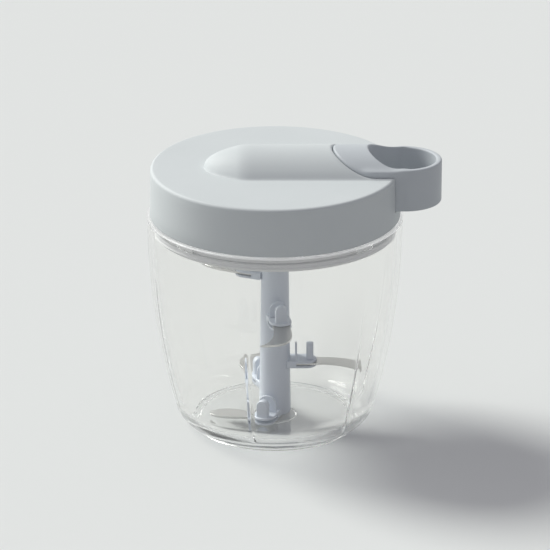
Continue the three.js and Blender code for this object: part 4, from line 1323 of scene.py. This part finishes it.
def makeBlades():
    for number, (azimuth, reachShare, outline) in enumerate(bladePlaces, 1):
        node = f"blade_{number}"
        low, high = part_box(node)
        verts, faces = bladeMesh(reachShare, outline, low.z, high.z)
        blade = finishPiece(f"steelBlade{number}", turnedBy(verts, azimuth), faces, bladeSteel, 20)
        settle(blade, "spindle", "blade_steel", node)


def armPieces(number, azimuth, height):
    half = armShape["width"] / 2
    top = armShape["height"] / 2
    root, centre = armShape["root"], armShape["length"] - half
    neck = centre * armShape["neck"]
    outline = [(root, -half), (neck, -half), *arc((centre, 0), half, -90, 90, 23), (neck, half), (root, half)]
    verts, faces = plateMesh(outline, height - top, height + top, armShape["edge"])
    made = [finishPiece(f"arm{number}", turnedBy(verts, azimuth), faces, shaftPlastic)]
    foot = height + top - armShape["sunk"]
    for label in ("peg", "fin"):
        at, thick, tall, wide = [armShape[label + word] for word in ("At", "Thickness", "Height", "Width")]
        wide /= 2
        tongue = [(-wide, foot), (wide, foot), *arc((0, height + top + tall - wide), wide, 0, 180, 19)]
        verts, faces = plateMesh(tongue, at - thick / 2, at + thick / 2, armShape[label + "Edge"])
        verts = turnedBy([(z, x, y) for x, y, z in verts], azimuth)
        made.append(finishPiece(f"{label}{number}", verts, faces, shaftPlastic))
    return made


def bladeSlot(number, azimuth, low, high):
    # the slit that a blade is held in, through its arm's outer end
    gap, width = spindleShape["bladeGap"], armShape["width"]
    verts, faces = blockMesh((bladeShape["rootStart"] - gap, -width, low - gap),
                             (armShape["length"] + fit["past"], width, high + gap))
    return finishPiece(f"slot{number}", turnedBy(verts, azimuth), faces, shaftPlastic)


def makeSpindle():
    low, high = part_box("spindle")
    shoulder = high.z - spindleShape["hexLength"]
    bore, boreTop = spindleShape["bore"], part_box("centre_pin")[1].z + spindleShape["abovePin"]
    outline = [(bore, low.z), (spindleShape["bottomRadius"], low.z), (spindleShape["topRadius"], shoulder),
               (0, shoulder), (0, boreTop), (bore, boreTop)]
    shaft = lathe("bladeSpindle", roundOff(outline, spindleShape["corners"]), shaftPlastic, 96)
    hexagon = arc((0, 0), spindleShape["hexFlats"] / math.sqrt(3), 30, 330, 5)
    hexagon = roundOff(hexagon, spindleShape["hexCorner"], 4)
    drive = plateMesh(hexagon, shoulder - fit["past"], high.z, spindleShape["hexEdge"])
    pieces, slots = [finishPiece("drive", *drive, shaftPlastic)], []
    for number, (azimuth, *_) in enumerate(bladePlaces, 1):
        bladeLow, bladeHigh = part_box(f"blade_{number}")
        pieces += armPieces(number, azimuth, (bladeLow.z + bladeHigh.z) / 2)
        slots.append(bladeSlot(number, azimuth, bladeLow.z, bladeHigh.z))
    combine(shaft, pieces, "UNION", 40)
    combine(shaft, slots, "DIFFERENCE", 40)
    settle(shaft, "spindle", "shaft_plastic", "spindle")


def makeSpindleBush():
    low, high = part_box("spindle_bush")
    outer, inner = high.x, high.x - spindleShape["bushWall"]
    outline = [(inner, low.z), (outer, low.z), (outer, high.z), (inner, high.z)]
    bush = lathe("spindleBush", roundOff(outline, spindleShape["bushEdge"]), worksPlastic, 64)
    settle(bush, "spindle", "works_plastic", "spindle_bush")


makeSpindle()
makeBlades()
makeSpindleBush()
print("spindle and blades made")


# cord, knot and spring

cordShape = {
    "radius": 0.7 * mm, "windRadius": 14.5 * mm, "pitch": 1.85 * mm, "turns": 4, "turnSteps": 72,
    "leaves": -38,       # degrees round the drum
    "bend": 3 * mm, "bendSteps": 12, "straightRings": 24,
    "fall": 1.5 * mm, "fallTurns": 0.25,   # the first stretch drops clear of the cord that leaves above it
    "knotShare": 0.95,   # of the cord's radius, in the tight knot
}


def makeWinding():
    start = math.radians(cordShape["leaves"])
    radius, steps = cordShape["windRadius"], cordShape["turnSteps"]
    fall, fallTurns, turns = cordShape["fall"], cordShape["fallTurns"], cordShape["turns"]
    pitch = (cordShape["pitch"] * turns - fall) / (turns - fallTurns)
    points = []
    for i in range(turns * steps + 1):
        turn = i / steps
        angle = start - 2 * math.pi * turn
        drop = fall * softStep(turn / fallTurns) + pitch * max(turn - fallTurns, 0)
        points.append((radius * math.cos(angle), radius * math.sin(angle), cordHeight - drop))
    wound = finishPiece("woundCord", *tubeMesh(points, cordShape["radius"]), braidedCord)
    settle(wound, "spool", "cord", "cord_winding")


def makePullCord():
    # from the drum through the guide to the knot, with enough rings along X to stretch smoothly
    angle = math.radians(cordShape["leaves"])
    along = np.array([-math.sin(angle), math.cos(angle), 0])
    leaves = np.array([math.cos(angle), math.sin(angle), 0]) * cordShape["windRadius"] + (0, 0, cordHeight)
    corner = leaves + along * (-leaves[1] / along[1])
    start, end = corner - along * cordShape["bend"], corner + np.array([cordShape["bend"], 0, 0])
    finish = knotLow.x - fit["gap"]
    points = [leaves + along * fit["gap"], *bend(start, corner, end, cordShape["bendSteps"])]
    points += [(x, 0, cordHeight) for x in np.linspace(end[0], finish, cordShape["straightRings"])[1:]]
    cord = finishPiece("pullCord", *tubeMesh(points, cordShape["radius"]), braidedCord)
    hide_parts("pull_cord")
    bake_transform(cord)


def makeKnot():
    # an overhand knot: a tight trefoil of the cord
    middle = (knotLow.x + knotHigh.x) / 2
    radius = cordShape["radius"] * cordShape["knotShare"]
    size = (knotHigh.x - knotLow.x) / 2 - radius
    points = []
    for i in range(96):
        t = 2 * math.pi * i / 96
        points.append((middle - size * math.sin(3 * t) / 2,
                       size * (math.sin(t) + 2 * math.sin(2 * t)) / 3,
                       cordHeight + size * (math.cos(t) - 2 * math.cos(2 * t)) / 3))
    knot = finishPiece("cordKnot", *tubeMesh(points, radius, (1, 0, 0), True), braidedCord)
    settle(knot, "handle", "cord", "cord_knot")


def makeSpring():
    low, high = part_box("recoil_spring")
    half, inside, turns = springShape["thickness"] / 2, springShape["inside"], springShape["turns"]
    outside = high.x - half
    steps = turns * springShape["turnSteps"]
    inner, outer = [], []
    for i in range(steps + 1):
        angle = 2 * math.pi * turns * i / steps + math.pi
        radius = inside + (outside - inside) * i / steps
        for side, offset in ((inner, -half), (outer, half)):
            side.append(((radius + offset) * math.cos(angle), (radius + offset) * math.sin(angle)))
    outline = outer + inner[::-1]
    verts, faces = loft([[(x, y, height) for x, y in outline] for height in (low.z, high.z)])
    count = len(outline)
    for first in (0, count):
        last = first + count - 1
        faces += [(first + i, first + i + 1, last - 1 - i, last - i) for i in range(steps)]
    spring = finishPiece("recoilSpring", verts, faces, pinSteel)
    start, hook = outside - half, springShape["hook"]
    reach = [(-inside, hook + fit["gap"]), (-start - hook, hook)]   # hooks into the post and the spool's case
    hooks = [blockMesh((x, -half, low.z), (x + length, half, high.z)) for x, length in reach]
    combine(spring, [finishPiece(f"hook{i}", *mesh, pinSteel) for i, mesh in enumerate(hooks)], "UNION")
    settle(spring, "lid", "pin_steel", "recoil_spring")


makeWinding()
makePullCord()
makeKnot()
makeSpring()
print("cord and spring made")


# CAD nodes that stay, with their finish

for node in ("spool", "spring_cover", "drive_coupler"):
    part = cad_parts[node]
    part.data.materials.clear()
    part.data.materials.append(worksPlastic)
    smoothFaces(part.data)
